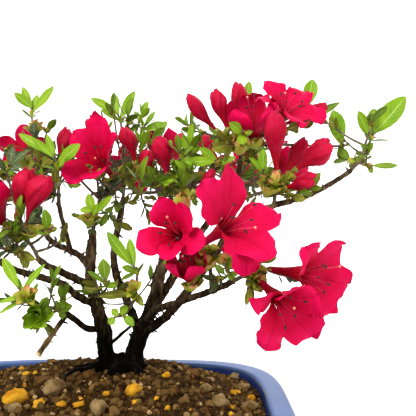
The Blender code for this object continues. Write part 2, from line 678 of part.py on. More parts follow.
def named_shoots(name, mass, stem, rng):
    """Each bloom and tuft of the table: its twig, and what that carries."""
    for kind, foot, tip, width in mass["blooms"]:
        inside = Vector(foot).lerp(Vector(tip), 0.05)
        yield twig([leaving(stem, foot), inside]), [bloom(kind, foot, tip, width)]
    for foot, tip, length, count in mass["tufts"]:
        end, leaves = leaf_tuft(foot, tip, length, count, rng)
        yield twig([leaving(stem, foot), foot, end]), leaves
    for foot, blades in SPRAYS.get(name, ()):
        end, leaves = leaf_spray(foot, blades)
        yield twig([leaving(stem, foot), foot, end]), leaves


def filling_shoots(name, mass, stem, rng):
    """More tufts, whose feet lie in the upper and outer part of the mass's space."""
    heart = Vector(mass["heart"])
    for _ in range(mass["fill"]):
        turn, rise = rng.uniform(0, 2 * math.pi), rng.uniform(-0.2, 0.95)
        level = math.sqrt(1 - rise * rise)
        out = Vector((math.cos(turn) * level, math.sin(turn) * level, rise))
        reach = Vector([out[i] * mass["space"][i] for i in range(3)])
        foot = heart + reach * rng.uniform(0.45, 0.75)
        start = leaving(stem, foot)
        end, leaves = leaf_tuft(foot, foot * 2 - start, rng.uniform(*FILL_LEAF_LENGTH), rng.choice(FILL_LEAF_COUNT), rng)
        yield twig([start, end]), leaves


def grow_masses(limbs):
    """The shapes of every mass: first what the table names in all of them, then what the seeded rule adds.
    What would touch a limb or another mass, leave its mass's space or cut another leaf is skipped."""
    rngs = {name: random.Random(mass["seed"]) for name, mass in MASSES.items()}
    stems = {name: stem_of(mass) for name, mass in MASSES.items()}
    shapes = {name: [tube(stems[name], (0.9, TWIG_RADIUS), 5)] for name in MASSES}
    for rule in (named_shoots, filling_shoots):
        for name, mass in MASSES.items():
            barred = limbs + [tree_of(s) for other in MASSES if other != name for s in shapes[other]]
            for carrier, carried in rule(name, mass, stems[name], rngs[name]):
                own = [tree_of(s) for s in shapes[name][1:]]
                kept = [s for s in carried if clear_of(s, barred)]
                if rule is filling_shoots:
                    kept = [s for s in kept if clear_of_mouths(s)]
                if rule is filling_shoots:
                    kept = [s for s in kept if in_space(s, mass) and not any(tree_of(s).overlap(t) for t in own)]
                if kept and clear_of(carrier, barred):
                    shapes[name] += [carrier, *kept]
    return shapes


def keep_largest(mesh):
    """Drops loose scraps and fills sealed hollows: only the largest connected shell stays."""
    shape = bmesh.new()
    shape.from_mesh(mesh)
    left = set(shape.verts)
    shells = []
    while left:
        shell, edge = set(), {left.pop()}
        while edge:
            shell |= edge
            edge = {e.other_vert(v) for v in edge for e in v.link_edges} - shell
        left -= shell
        shells.append(shell)
    largest = max(shells, key=len)
    bmesh.ops.delete(shape, geom=[v for v in shape.verts if v not in largest], context="VERTS")
    shape.to_mesh(mesh)
    shape.free()


def fuse_mass(name, shapes, material):
    """One node: the stem, with everything that grows on it joined on, then cut clear of the limb that carries it."""
    pieces = bpy.data.collections.new(name + "_pieces")
    bpy.context.scene.collection.children.link(pieces)
    node = add_object(name, shapes[0], material)
    for k, shape in enumerate(shapes[1:]):
        add_object(f"{name}_{k}", shape, material, pieces)
    join_all(node, pieces)
    keep_largest(node.data)
    cut_by(node, add_cutter(f"{name}_seat", swollen(MASSES[name]["on"])), "clear_of_carrier")


def main():
    for old in list(bpy.data.objects):
        bpy.data.objects.remove(old)
    materials = {name: make_material(name) for name in COLOURS}
    make_pot(materials["glaze"])
    make_soil(materials["soil"])
    make_trunk(materials["bark"])
    for name in LIMBS:
        make_limb(name, materials["bark"])
    limbs = [tree_of(tube(limb_route(name), LIMBS[name]["radius"], limb_sides(name))) for name in LIMBS]
    for name, shapes in grow_masses(limbs).items():
        fuse_mass(name, shapes, materials["leaf"])


main()
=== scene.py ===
import math
import random

import bpy
import numpy as np
from mathutils import Matrix, Vector, noise
from mathutils.geometry import interpolate_bezier


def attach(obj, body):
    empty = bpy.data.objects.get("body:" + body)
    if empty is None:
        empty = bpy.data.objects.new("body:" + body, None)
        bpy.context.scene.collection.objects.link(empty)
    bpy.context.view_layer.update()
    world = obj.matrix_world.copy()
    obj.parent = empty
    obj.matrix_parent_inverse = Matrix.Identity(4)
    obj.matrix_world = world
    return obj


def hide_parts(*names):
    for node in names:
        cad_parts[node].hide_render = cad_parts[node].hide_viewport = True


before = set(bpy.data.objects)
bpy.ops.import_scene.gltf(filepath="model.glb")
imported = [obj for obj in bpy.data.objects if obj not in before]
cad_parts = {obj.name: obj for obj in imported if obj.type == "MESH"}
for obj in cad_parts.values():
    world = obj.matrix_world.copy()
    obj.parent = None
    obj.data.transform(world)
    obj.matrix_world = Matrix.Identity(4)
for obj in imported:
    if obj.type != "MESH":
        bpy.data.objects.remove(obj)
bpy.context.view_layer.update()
mm = 0.001  # the tables below are in millimetres, apart from those of the lamps and the floor


def addObject(name, data):
    made = bpy.data.objects.new(name, data)
    bpy.context.scene.collection.objects.link(made)
    return made


# camera, light and floor

cameraSetup = {"place": (64.3, -273.7, 150.4), "tiltUp": 0.03, "lens": 47.2, "sensor": 36}
skyPower = 0.72
lampSetup = {  # place, aim, size and power
    "key": ((-0.45, -0.75, 0.95), (0.02, 0.02, 0.12), 0.55, 13.0),
    "fill": ((0.9, -0.5, 0.5), (0.02, 0.02, 0.12), 0.9, 3.0),
    "rim": ((0.3, 0.9, 0.8), (0.02, 0.02, 0.12), 0.8, 6.0),
    "wall": ((0.1, 0.7, 0.9), (0.1, 2.4, 0.5), 1.6, 48.0),
}
floorSetup = {"side": 4.0, "behind": 1.6, "bend": 0.9, "bendSteps": 16, "top": 3.5, "grey": 0.93}


def addCamera():
    lens = bpy.data.cameras.new("camera")
    lens.lens, lens.sensor_width, lens.clip_start = cameraSetup["lens"], cameraSetup["sensor"], 0.01
    camera = addObject("camera", lens)
    camera.location = [value * mm for value in cameraSetup["place"]]
    camera.rotation_euler = (math.pi / 2 + cameraSetup["tiltUp"], 0, 0)
    bpy.context.scene.camera = camera


def addLights():
    world = bpy.data.worlds.new("studio")
    world.use_nodes = True
    sky = world.node_tree.nodes["Background"].inputs
    sky["Color"].default_value, sky["Strength"].default_value = (1, 1, 1, 1), skyPower
    bpy.context.scene.world = world
    bpy.context.scene.view_settings.view_transform = "Standard"
    for name, (place, aim, size, power) in lampSetup.items():
        lamp = bpy.data.lights.new(name, "AREA")
        lamp.size, lamp.energy = size, power
        holder = addObject(name, lamp)
        holder.location = place
        holder.rotation_euler = (Vector(aim) - holder.location).to_track_quat("-Z", "Y").to_euler()


def addFloor():
    # flat under the pot, then swept up behind it
    side, bend, behind = floorSetup["side"], floorSetup["bend"], floorSetup["behind"]
    outline = [(-side, 0.0)]  # depth and height
    for step in range(floorSetup["bendSteps"] + 1):
        turn = math.pi / 2 * step / floorSetup["bendSteps"]
        outline.append((behind + bend * math.sin(turn), bend - bend * math.cos(turn)))
    outline.append((behind + bend, floorSetup["top"]))
    count = len(outline)
    mesh = bpy.data.meshes.new("floor")
    points = [(x, y, z) for x in (-side, side) for y, z in outline]
    mesh.from_pydata(points, [], [(k, count + k, count + k + 1, k + 1) for k in range(count - 1)])
    mesh.shade_smooth()
    mesh.materials.append(Paint("paleFloor", 0.75, Base_Color=(*[floorSetup["grey"]] * 3, 1)).material)
    addObject("floor", mesh)


# materials


def tint(red, green, blue):
    def linear(value):
        value /= 255
        return value / 12.92 if value <= 0.04045 else ((value + 0.055) / 1.055) ** 2.4

    return (linear(red), linear(green), linear(blue), 1.0)


def addNode(tree, kind, feeds=None, **values):
    # feeds go to inputs, as links or as plain values; of the rest, names with a capital are inputs too
    whole = kind.startswith(("Geometry", "Function", "NodeGroup"))
    made = tree.nodes.new(kind if whole else "ShaderNode" + kind)
    for key, value in values.items():
        if key[0].isupper():
            made.inputs[key.replace("_", " ")].default_value = value
        else:
            setattr(made, key, value)
    for key, source in (feeds or {}).items():
        if isinstance(source, bpy.types.NodeSocket):
            tree.links.new(source, made.inputs[key])
        else:
            made.inputs[key].default_value = source
    return made


class Paint:
    # a procedural material on the object's own coordinates; all of these but finish give back a socket

    def __init__(self, name, roughness, **sockets):
        self.material = bpy.data.materials.new(name)
        self.material.use_nodes = True
        self.tree = self.material.node_tree
        self.shader = self.tree.nodes["Principled BSDF"].inputs
        self.shader["Roughness"].default_value = roughness
        for key, value in sockets.items():
            self.shader[key.replace("_", " ")].default_value = value
        source = self.node("TexCoord")
        self.coords, self.uv = source["Object"], source["UV"]

    def node(self, kind, feeds=None, **values):
        return addNode(self.tree, kind, feeds, **values).outputs

    def maths(self, operation, first, second=0.0, clamp=False):
        return self.node("Math", {0: first, 1: second}, operation=operation, use_clamp=clamp)[0]

    def times(self, first, second):
        return self.maths("MULTIPLY", first, second)

    def plus(self, first, second):
        return self.maths("ADD", first, second)

    def minus(self, first, second):
        return self.maths("SUBTRACT", first, second)

    def between(self, source, low, high):
        # 0 at the first value and 1 at the second
        return self.node("MapRange", {"Value": source, "From Min": low, "From Max": high})["Result"]

    def mix(self, share, first, second, blend="MIX"):
        return self.node("Mix", {0: share, 6: first, 7: second}, data_type="RGBA", blend_type=blend)[2]

    def noise(self, scale, detail=3.0, coords=None):
        place = self.coords if coords is None else coords
        return self.node("TexNoise", {"Vector": place}, Scale=scale, Detail=detail)["Fac"]

    def stretched(self, coords, scale):
        return self.node("Mapping", {"Vector": coords, "Scale": scale})["Vector"]

    def ramp(self, source, stops):
        made = addNode(self.tree, "ValToRGB", {"Fac": source})
        elements = made.color_ramp.elements
        elements[0].position, elements[0].color = stops[0]
        elements[1].position, elements[1].color = stops[-1]
        for place, colour in stops[1:-1]:
            elements.new(place).color = colour
        return made.outputs["Color"]

    def part(self, axis, vector=None):
        return self.node("SeparateXYZ", {"Vector": self.coords if vector is None else vector})[axis]

    def finish(self, colour, bump, strength, distance):
        self.tree.links.new(colour, self.shader["Base Color"])
        normal = self.node("Bump", {"Height": bump}, Strength=strength, Distance=distance)["Normal"]
        self.tree.links.new(normal, self.shader["Normal"])
        return self.material


# meshes: many small shapes are gathered first, and made at once


def newGather():
    return {"points": [], "faces": [], "uvs": []}


def addShape(gather, points, faces, uvs):
    start = len(gather["points"])
    gather["points"] += [tuple(p) for p in points]
    gather["uvs"] += uvs
    gather["faces"] += [tuple(start + k for k in face) for face in faces]


def makePiece(name, gather, material, nodes=()):
    mesh = bpy.data.meshes.new(name)
    mesh.from_pydata([(x * mm, y * mm, z * mm) for x, y, z in gather["points"]], [], gather["faces"])
    layer = mesh.uv_layers.new(name="UVMap")
    corners = np.zeros(len(mesh.loops), np.int32)
    mesh.loops.foreach_get("vertex_index", corners)
    layer.uv.foreach_set("vector", np.array(gather["uvs"], np.float32)[corners].ravel())
    mesh.shade_smooth()
    mesh.materials.append(material)
    return keepPiece(name, mesh, nodes)


def keepPiece(name, mesh, nodes=()):
    mesh.name = name
    piece = addObject(name, mesh)
    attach(piece, "root")
    if nodes:
        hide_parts(*nodes)
    print("  ", name, len(mesh.polygons), "faces")
    return piece


def takeResult(holder):
    # what the holder's modifiers make, as a plain mesh
    mesh = bpy.data.meshes.new_from_object(holder.evaluated_get(bpy.context.evaluated_depsgraph_get()))
    bpy.data.objects.remove(holder)
    return mesh


def gridFaces(rows, columns, wrap=False):
    faces = []
    for row in range(rows - 1):
        for k in range(columns if wrap else columns - 1):
            a, b = row * columns + k, row * columns + (k + 1) % columns
            faces.append((a, b, b + columns, a + columns))
    return faces


def closedGrid(rows, columns):
    # rings of points, with a flat face over the first and over the last
    ends = [tuple(reversed(range(columns))), tuple(range((rows - 1) * columns, rows * columns))]
    return gridFaces(rows, columns, wrap=True) + ends


def smoothRoute(points, steps):
    knots = [Vector(p) for p in points]
    found = [knots[0]]
    for i, (a, b) in enumerate(zip(knots, knots[1:])):
        before = knots[i - 1] if i else a
        after = knots[i + 2] if i + 2 < len(knots) else b
        found += interpolate_bezier(a, a + (b - before) / 6, b - (after - a) / 6, b, steps + 1)[1:]
    return found


def routeLength(route):
    return sum((b - a).length for a, b in zip(route, route[1:]))


def tapered(radius, change):
    return lambda share, turn, place, out: radius + change * share


def addTube(gather, route, radiusAt, sides):
    last = len(route) - 1
    headings = [(route[min(i + 1, last)] - route[max(i - 1, 0)]).normalized() for i in range(last + 1)]
    side = headings[0].orthogonal().normalized()
    points, uvs, far = [], [], 0.0
    for i, (place, along) in enumerate(zip(route, headings)):
        side = (side - along * side.dot(along)).normalized()
        other = along.cross(side)
        far += (place - route[i - 1]).length if i else 0.0
        for k in range(sides):
            turn = 2 * math.pi * k / sides
            out = side * math.cos(turn) + other * math.sin(turn)
            points.append(place + out * radiusAt(i / last, turn, place, out))
            uvs.append((k / sides, far * 0.02))
    addShape(gather, points, closedGrid(last + 1, sides), uvs)


# pot

potShape = {
    "halfLength": 106.0, "halfDepth": 89.5, "power": 4.0, "height": 62.0, "lipWidth": 12.0,
    "lipThickness": 6.0, "wall": 5.5, "floor": 7.0, "footHeight": 6.0, "footInset": 20.0, "drainRadius": 6.0,
    "drainX": 38.0, "around": 160, "ripple": 0.0014,
}


def roundedRectangle(halfX, halfY, z, count, centre=(0.0, 0.0), power=potShape["power"]):
    outline = []
    for k in range(count):
        turn = 2 * math.pi * (k + 0.5) / count
        c, s = math.cos(turn), math.sin(turn)
        x = halfX * math.copysign(abs(c) ** (2 / power), c)
        y = halfY * math.copysign(abs(s) ** (2 / power), s)
        outline.append((centre[0] + x, centre[1] + y, z))
    return outline


def potOutline(inset, z, count):
    return roundedRectangle(potShape["halfLength"] - inset, potShape["halfDepth"] - inset, z, count)


def potProfile():
    # how far in from the lip's outer edge, and the height: up the outside, over the lip and down the inside
    p = potShape
    lip, rim, inset, foot = p["lipWidth"], p["height"], p["footInset"], p["footHeight"]
    under, face = rim - p["lipThickness"], lip - p["wall"]
    base = [(inset + 1.0, 0), (inset + 0.3, 0.3), (inset, 1.0), (inset - 0.8, foot - 1),
            (inset - 1.4, foot + 0.4), (inset - 3.4, foot + 1.2)]
    wall = [(inset - 6, foot + 1.5), (lip - 0.2, 17), (lip - 1.2, 27), (lip - 2.6, 38),
            (face + 1.9, under - 4), (face + 1.0, under - 2)]
    wall = [(v.x, v.y) for v in smoothRoute([(a, b, 0) for a, b in wall], 4)]
    edge = [(1.0, rim - 6.2), (0.3, rim - 5.4), (0.05, rim - 4.2), (0.1, rim - 2.8), (0.5, rim - 1.5),
            (1.2, rim - 0.6), (2.4, rim - 0.1), (4.5, rim + 0.05), (lip - 2.4, rim), (lip - 1.0, rim - 0.3),
            (lip - 0.3, rim - 0.9), (lip + 0.1, rim - 1.8)]
    inside = [(lip + 1.0, rim - 8), (lip + 2.5, rim - 20), (inset, p["floor"] + 4), (inset + 4, p["floor"])]
    return base + wall + edge + inside


def makePot():
    profile, count = potProfile(), potShape["around"]
    gather, points, uvs = newGather(), [], []
    for inset, z in profile:
        for x, y, _ in potOutline(inset, z, count):
            # a hand-made wall: a slow, slight unevenness
            ripple = potShape["ripple"] * noise.noise(Vector((x, y, z)) * 0.03) if 2 < z < 52 else 0.0
            points.append((x * (1 + ripple), y * (1 + ripple), z))
            uvs.append((math.atan2(y, x) / (2 * math.pi) + 0.5, z / potShape["height"]))
    addShape(gather, points, gridFaces(len(profile), count, wrap=True), uvs)
    addBase(gather, points[:count], 0.0, True)
    addBase(gather, points[-count:], potShape["floor"], False)
    for place in (-potShape["drainX"], potShape["drainX"]):
        addDrainWall(gather, place)
    makePiece("potBody", gather, potGlaze(), ["pot"])


def addBase(gather, outline, z, flip):
    # the flat under the pot or inside it, as two halves that leave the drain holes open
    ring = 40
    for sign in (-1, 1):
        half = [p for p in outline if p[0] * sign >= 0]
        half.sort(key=lambda p: math.atan2(p[1], p[0] * sign))
        edge = [half[round(k * (len(half) - 1) / ring)] for k in range(ring + 1)]
        middle = [(0.0, half[-1][1] * (1 - 2 * k / ring), z) for k in range(1, ring)]
        loop = [(x, y, z) for x, y, _ in edge] + middle
        centre, size = sign * potShape["drainX"], len(loop)
        points = loop + [drainPoint(centre, math.atan2(y, x - centre), z) for x, y, _ in loop]
        faces = [(k, (k + 1) % size, size + (k + 1) % size, size + k) for k in range(size)]
        if (sign > 0) == flip:
            faces = [tuple(reversed(face)) for face in faces]
        addShape(gather, points, faces, [(0.5, z / potShape["height"])] * len(points))


def drainPoint(centre, turn, z):
    return centre + potShape["drainRadius"] * math.cos(turn), potShape["drainRadius"] * math.sin(turn), z


def addDrainWall(gather, centre, sides=24):
    turns = [2 * math.pi * k / sides for k in range(sides)]
    points = [drainPoint(centre, turn, z) for z in (0.0, potShape["floor"]) for turn in turns]
    faces = [tuple(reversed(face)) for face in gridFaces(2, sides, wrap=True)]
    addShape(gather, points, faces, [(0.5, 0.03)] * len(points))


def potGlaze():
    paint = Paint("blueGlaze", 0.35, Specular_IOR_Level=0.11)
    uneven = paint.times(paint.minus(paint.noise(60), 0.5), 0.003)
    share = paint.maths("DIVIDE", paint.plus(paint.part("Z"), uneven), 0.064)
    body = paint.ramp(share, [  # the bare foot, the wall, and the lip, which is painted paler, with a grey band on its rounded edge: painted highlight where the lip faces the light
        (0.0, tint(126, 96, 74)), (0.08, tint(134, 104, 82)), (0.10, tint(24, 40, 84)),
        (0.30, tint(22, 44, 104)), (0.90, tint(24, 48, 108)), (0.942, tint(40, 64, 116)),
        # the grey band and the paler blue after it: painted highlight on the lip's rounded edge and on its
        # top
        (0.951, tint(80, 94, 100)), (0.962, tint(48, 88, 150)),
    ])
    mottled = paint.mix(paint.times(paint.noise(45, 8), 0.5), body, tint(50, 76, 130), "SOFT_LIGHT")
    specks = paint.node("TexVoronoi", {"Vector": paint.coords}, Scale=520)["Distance"]
    speckled = paint.mix(paint.times(paint.maths("LESS_THAN", specks, 0.13), 0.3), mottled, tint(20, 30, 60))
    rough = paint.ramp(share, [(0.09, (0.8, 0.8, 0.8, 1)), (0.11, (0.3, 0.3, 0.3, 1)),
                               (1.0, (0.38, 0.38, 0.38, 1))])
    paint.tree.links.new(rough, paint.shader["Roughness"])
    return paint.finish(speckled, paint.noise(160, 5), 0.12, 0.0006)


# soil

soilShape = {
    "trunk": (17.0, 20.0), "groundZ": 73.0, "edgeZ": 57.0, "plateau": 22.0, "gap": 0.3, "lump": 0.9,
    "around": 200, "rings": 70, "middleRings": 16, "clodStep": 20.0, "clodSize": (3.5, 5.5),
    "clodClear": 30.0,
    "heap": (-40, 40, 2.2, 700),  # a low heap behind the trunk, to its left: place, height and spread
    "colours": (tint(62, 43, 19), tint(34, 22, 9)),
}
pebbleSpots = {  # the loose stones that show most: place and size
    "gold": [(-25, -20, 10.5), (-12, -26, 6.0), (-40, 34, 3.0), (-33, 20, 3.4), (-28, 20, 3.2),
             (-52, 39, 2.4), (-2, -25, 4.0), (6, -25, 4.4), (17, -16, 2.8), (29, -15, 8.6), (31, -22, 2.8),
             (43, 10, 3.6), (46, -25, 2.4), (63, 38, 3.2), (66, 60, 3.8), (76, -7, 3.0), (78, 18, 3.4),
             (87, 15, 4.8)],
    "tan": [(-9, -14, 10.0), (16, -30, 8.6), (21, -15, 2.6), (63, 7, 6.6), (80, 54, 7.0), (70, -8, 9.0),
            (85, 0, 7.4), (84, 34, 6.4), (-23, -27, 6.4)],
    "brown": [(8, -16, 4.2), (4, 4, 6.5), (-20, 2, 5.0), (48, -10, 5.5), (57, 24, 5.0)],
}
stoneColours = {
    "gold": (tint(226, 174, 50), tint(186, 128, 30)), "tan": (tint(156, 134, 94), tint(104, 82, 50)),
    "brown": (tint(116, 86, 48), tint(60, 40, 18)),
}
crumbSetup = [  # name, how many in a square metre, smallest and largest size, two colours, roundness and seed
    ("soilCrumbs", 50000, 1.6, 3.4, tint(122, 94, 52), tint(36, 23, 8), 2, 3),
    ("soilClods", 20000, 2.8, 5.6, tint(136, 108, 64), tint(66, 46, 22), 2, 8),
    ("soilGrains", 200000, 0.7, 1.8, tint(118, 90, 50), tint(38, 25, 10), 1, 5),
    ("soilGrit", 9000, 1.4, 3.4, tint(196, 168, 120), tint(128, 100, 60), 2, 4),
    ("soilPebbles", 1800, 1.4, 2.8, tint(226, 170, 60), tint(170, 116, 40), 2, 5),
]
trunkX, trunkY = soilShape["trunk"]
soilInset = potShape["lipWidth"] + soilShape["gap"] + 0.7
soilOuter = potOutline(soilInset, 0, soilShape["around"])
soilInner = roundedRectangle(soilShape["plateau"], soilShape["plateau"], 0, soilShape["around"],
                             (trunkX, trunkY), 2)


def soilHeight(share):
    eased = share * share * (3 - 2 * share)
    return soilShape["groundZ"] + (soilShape["edgeZ"] - soilShape["groundZ"]) * (0.45 * share + 0.55 * eased)


def soilPoint(k, share):
    (x, y, _), (innerX, innerY, _) = soilOuter[k], soilInner[k]
    return innerX + (x - innerX) * share, innerY + (y - innerY) * share


def soilShareAt(x, y):
    # how far a point lies from the flat round the trunk, at 0, towards the pot's wall, at 1
    away = Vector((x - trunkX, y - trunkY))
    heading = away.normalized()
    halfX, halfY = potShape["halfLength"] - soilInset, potShape["halfDepth"] - soilInset
    low, high = 0.0, 250.0
    for _ in range(22):
        middle = (low + high) / 2
        px, py = trunkX + heading.x * middle, trunkY + heading.y * middle
        inside = abs(px / halfX) ** potShape["power"] + abs(py / halfY) ** potShape["power"] < 1
        low, high = (middle, high) if inside else (low, middle)
    return max(0.0, (away.length - soilShape["plateau"]) / (low - soilShape["plateau"]))


def clodPlaces():
    # the larger clods, jittered about a square grid as they are in the solid
    rng, step, found = random.Random(31), soilShape["clodStep"], []
    for row in range(-4, 5):
        for column in range(-5, 6):
            x, y = (column + rng.uniform(-0.35, 0.35)) * step, (row + rng.uniform(-0.35, 0.35)) * step
            size = rng.uniform(*soilShape["clodSize"])
            if math.hypot(x - trunkX, y - trunkY) > soilShape["clodClear"] and soilShareAt(x, y) < 0.92:
                found.append((x, y, size))
    return found


def lumpAt(x, y, share):
    place = Vector((x, y, 3.0))
    coarse = noise.noise(place * 0.07) * 1.3 + noise.noise(place * 0.2) * 0.7
    heapX, heapY, heapHeight, heapSpread = soilShape["heap"]
    heap = math.exp(-((x - heapX) ** 2 + (y - heapY) ** 2) / heapSpread) * heapHeight
    calm = 1 - max(0.0, share - 0.8) / 0.2 * 0.7
    return (coarse * soilShape["lump"] + heap) * calm * min(1.0, share * 5)


def groundAt(x, y):
    share = soilShareAt(x, y)
    return soilHeight(share) + lumpAt(x, y, share)


def makeSoil():
    around, rings, middle = soilShape["around"], soilShape["rings"], soilShape["middleRings"]
    bottom, floor = potShape["footInset"], potShape["floor"]
    points = potOutline(bottom + 4 + soilShape["gap"], floor + 0.3, around)
    points += potOutline(bottom + 0.3, floor + 4.3, around)
    for ring in range(rings + 1):
        share = 1 - ring / rings
        for k in range(around):
            x, y = soilPoint(k, share)
            fine = noise.noise(Vector((x, y, 0)) * 0.9) * 0.35 * min(1.0, (1 - share) * 12)
            points.append((x, y, soilHeight(share) + (lumpAt(x, y, share) if share < 1 else 0.0) + fine))
    for ring in range(1, middle):  # the flat that the trunk stands on
        share = 1 - ring / middle
        for k in range(around):
            x = trunkX + (soilInner[k][0] - trunkX) * share
            y = trunkY + (soilInner[k][1] - trunkY) * share
            points.append((x, y, soilHeight(0) + lumpAt(x, y, 0) * max(0.0, share * 2 - 1)))
    gather = newGather()
    uvs = [(x * 0.01, y * 0.01) for x, y, _ in points]
    addShape(gather, points, closedGrid(len(points) // around, around), uvs)
    return makePiece("soilGround", gather, soilMaterial("darkSoil", *soilShape["colours"]), ["soil"])


def soilMaterial(name, colour, second, scale=900, shaded=False):
    paint = Paint(name, 0.95, Specular_IOR_Level=0.04)
    grain = paint.noise(scale * 2.2, 4)
    share = paint.between(paint.noise(scale * 0.25, 6), 0.35, 0.65)
    if shaded:  # each crumb has its own shade
        own = paint.node("Attribute", attribute_name="shade")["Fac"]
        share = paint.maths("ADD", paint.times(share, 0.4), paint.times(own, 0.75), True)
    base = paint.mix(share, colour, second)
    lit = paint.mix(paint.times(grain, 0.35), base, tint(190, 160, 100), "SOFT_LIGHT")
    return paint.finish(lit, grain, 0.5, 0.0008)


def scatterTree(name, settings):
    # a node group with a mesh in and out and named inputs, a way to add nodes to it, and its inputs
    tree = bpy.data.node_groups.new(name, "GeometryNodeTree")
    face = tree.interface
    face.new_socket("Geometry", in_out="INPUT", socket_type="NodeSocketGeometry")
    for key, value in settings.items():
        kind = "Material" if value is None else "Int" if isinstance(value, int) else "Float"
        socket = face.new_socket(key, in_out="INPUT", socket_type="NodeSocket" + kind)
        if value is not None:
            socket.default_value = value
    face.new_socket("Geometry", in_out="OUTPUT", socket_type="NodeSocketGeometry")

    def add(kind, feeds=None, **values):
        return addNode(tree, kind, feeds, **values).outputs

    return tree, add, add("NodeGroupInput")


def placeWhere(add, given, vector, lowest):
    # points on the faces where the vector's Z passes a limit
    rise = add("SeparateXYZ", {"Vector": vector})["Z"]
    chosen = add("FunctionNodeCompare", {"A": rise, "B": lowest})["Result"]
    feeds = {"Mesh": given["Geometry"], "Selection": chosen, "Density": given["Density"],
             "Seed": given["Seed"]}
    return add("GeometryNodeDistributePointsOnFaces", feeds)


def putInstances(add, points, shape, rotation, scale):
    feeds = {"Points": points["Points"], "Instance": shape, "Rotation": rotation, "Scale": scale}
    return add("GeometryNodeInstanceOnPoints", feeds)["Instances"]


def endTree(add, given, geometry):
    feeds = {"Geometry": geometry, "Material": given["Material"]}
    add("NodeGroupOutput", {"Geometry": add("GeometryNodeSetMaterial", feeds)["Geometry"]})


def crumbTree():
    settings = {"Density": 1000.0, "Smallest": 0.001, "Largest": 0.003, "Seed": 1, "Roundness": 2,
                "Material": None}
    tree, add, given = scatterTree("crumbs", settings)
    points = placeWhere(add, given, add("GeometryNodeInputNormal")["Normal"], 0.5)
    stone = add("GeometryNodeMeshIcoSphere", {"Radius": 0.5, "Subdivisions": given["Roundness"]})["Mesh"]
    turn = add("FunctionNodeRandomValue", {1: (6.28, 6.28, 6.28)}, data_type="FLOAT_VECTOR")[0]
    size = add("FunctionNodeRandomValue", {2: given["Smallest"], 3: given["Largest"],
                                           "Seed": given["Seed"]})[1]
    shape = add("FunctionNodeRandomValue", {0: (0.7, 0.6, 0.5), 1: (1.25, 1.0, 0.9)},
                data_type="FLOAT_VECTOR")[0]
    scale = add("VectorMath", {0: shape, "Scale": size}, operation="SCALE")[0]
    crumbs = putInstances(add, points, stone, turn, scale)
    shade = add("FunctionNodeRandomValue", {"Seed": 2})[1]
    feeds = {"Geometry": crumbs, "Name": "shade", "Value": shade}
    shaded = add("GeometryNodeStoreNamedAttribute", feeds, domain="INSTANCE")["Geometry"]
    real = add("GeometryNodeRealizeInstances", {"Geometry": shaded})["Geometry"]
    # every crumb is broken up by noise, so that no two are alike
    place = add("GeometryNodeInputPosition")["Position"]
    rough = add("TexNoise", {"Vector": place}, Scale=480, Detail=2)["Color"]
    centred = add("VectorMath", {0: rough, 1: (0.5, 0.5, 0.5)}, operation="SUBTRACT")[0]
    push = add("VectorMath", {0: centred, "Scale": 0.0028}, operation="SCALE")[0]
    endTree(add, given, add("GeometryNodeSetPosition", {"Geometry": real, "Offset": push})["Geometry"])
    return tree


def scatterOn(name, ground, tree, values):
    # runs the tree on a copy of the ground and keeps its result as a plain mesh
    holder = addObject(name + "Source", ground.data)
    modifier = holder.modifiers.new("scatter", "NODES")
    modifier.node_group = tree
    for item in tree.interface.items_tree:
        if item.in_out == "INPUT" and item.name in values:
            modifier[item.identifier] = values[item.name]
    keepPiece(name, takeResult(holder))


def makeCrumbs(ground):
    tree = crumbTree()
    for name, density, smallest, largest, colour, second, roundness, seed in crumbSetup:
        finish = soilMaterial(name + "Finish", colour, second, shaded=True)
        values = {"Density": float(density), "Smallest": smallest * mm, "Largest": largest * mm, "Seed": seed,
                  "Roundness": roundness, "Material": finish}
        scatterOn(name, ground, tree, values)


def addPebble(gather, place, size, rng, rows=9, sides=14):
    stretch = Vector((rng.uniform(0.85, 1.35), rng.uniform(0.75, 1.05), rng.uniform(0.6, 0.85))) * size / 2
    turn = Matrix.Rotation(rng.uniform(0, 6.28), 3, "Z") @ Matrix.Rotation(rng.uniform(-0.5, 0.5), 3, "X")
    shift = Vector((rng.uniform(0, 99), 0, 0))
    points = []
    for row in range(rows):
        rise = math.pi * (row + 0.02) / (rows - 1 + 0.04)
        for k in range(sides):
            around = 2 * math.pi * k / sides
            out = Vector((math.cos(around) * math.sin(rise), math.sin(around) * math.sin(rise),
                          -math.cos(rise)))
            grown = 1 + 0.5 * noise.noise(out * 1.3 + shift) + 0.34 * noise.noise(out * 3.1 + shift)
            points.append(place + turn @ Vector([out[i] * stretch[i] * grown for i in range(3)]))
    addShape(gather, points, closedGrid(rows, sides), [(0, 0)] * len(points))


def makePebbles():
    rng = random.Random(7)
    gathers = {kind: newGather() for kind in stoneColours}
    for kind, stones in pebbleSpots.items():
        for x, y, size in stones:
            addPebble(gathers[kind], Vector((x, y, groundAt(x, y) + size * 0.22)), size, rng)
    for x, y, size in clodPlaces():
        kind = rng.choice(("brown", "brown", "tan", "gold"))
        addPebble(gathers[kind], Vector((x, y, groundAt(x, y))), size * (0.7 if kind == "gold" else 1.05),
                  rng)
    for kind, gather in gathers.items():
        makePiece(kind + "Pebbles", gather, soilMaterial(kind + "Stone", *stoneColours[kind], 700))


# bark

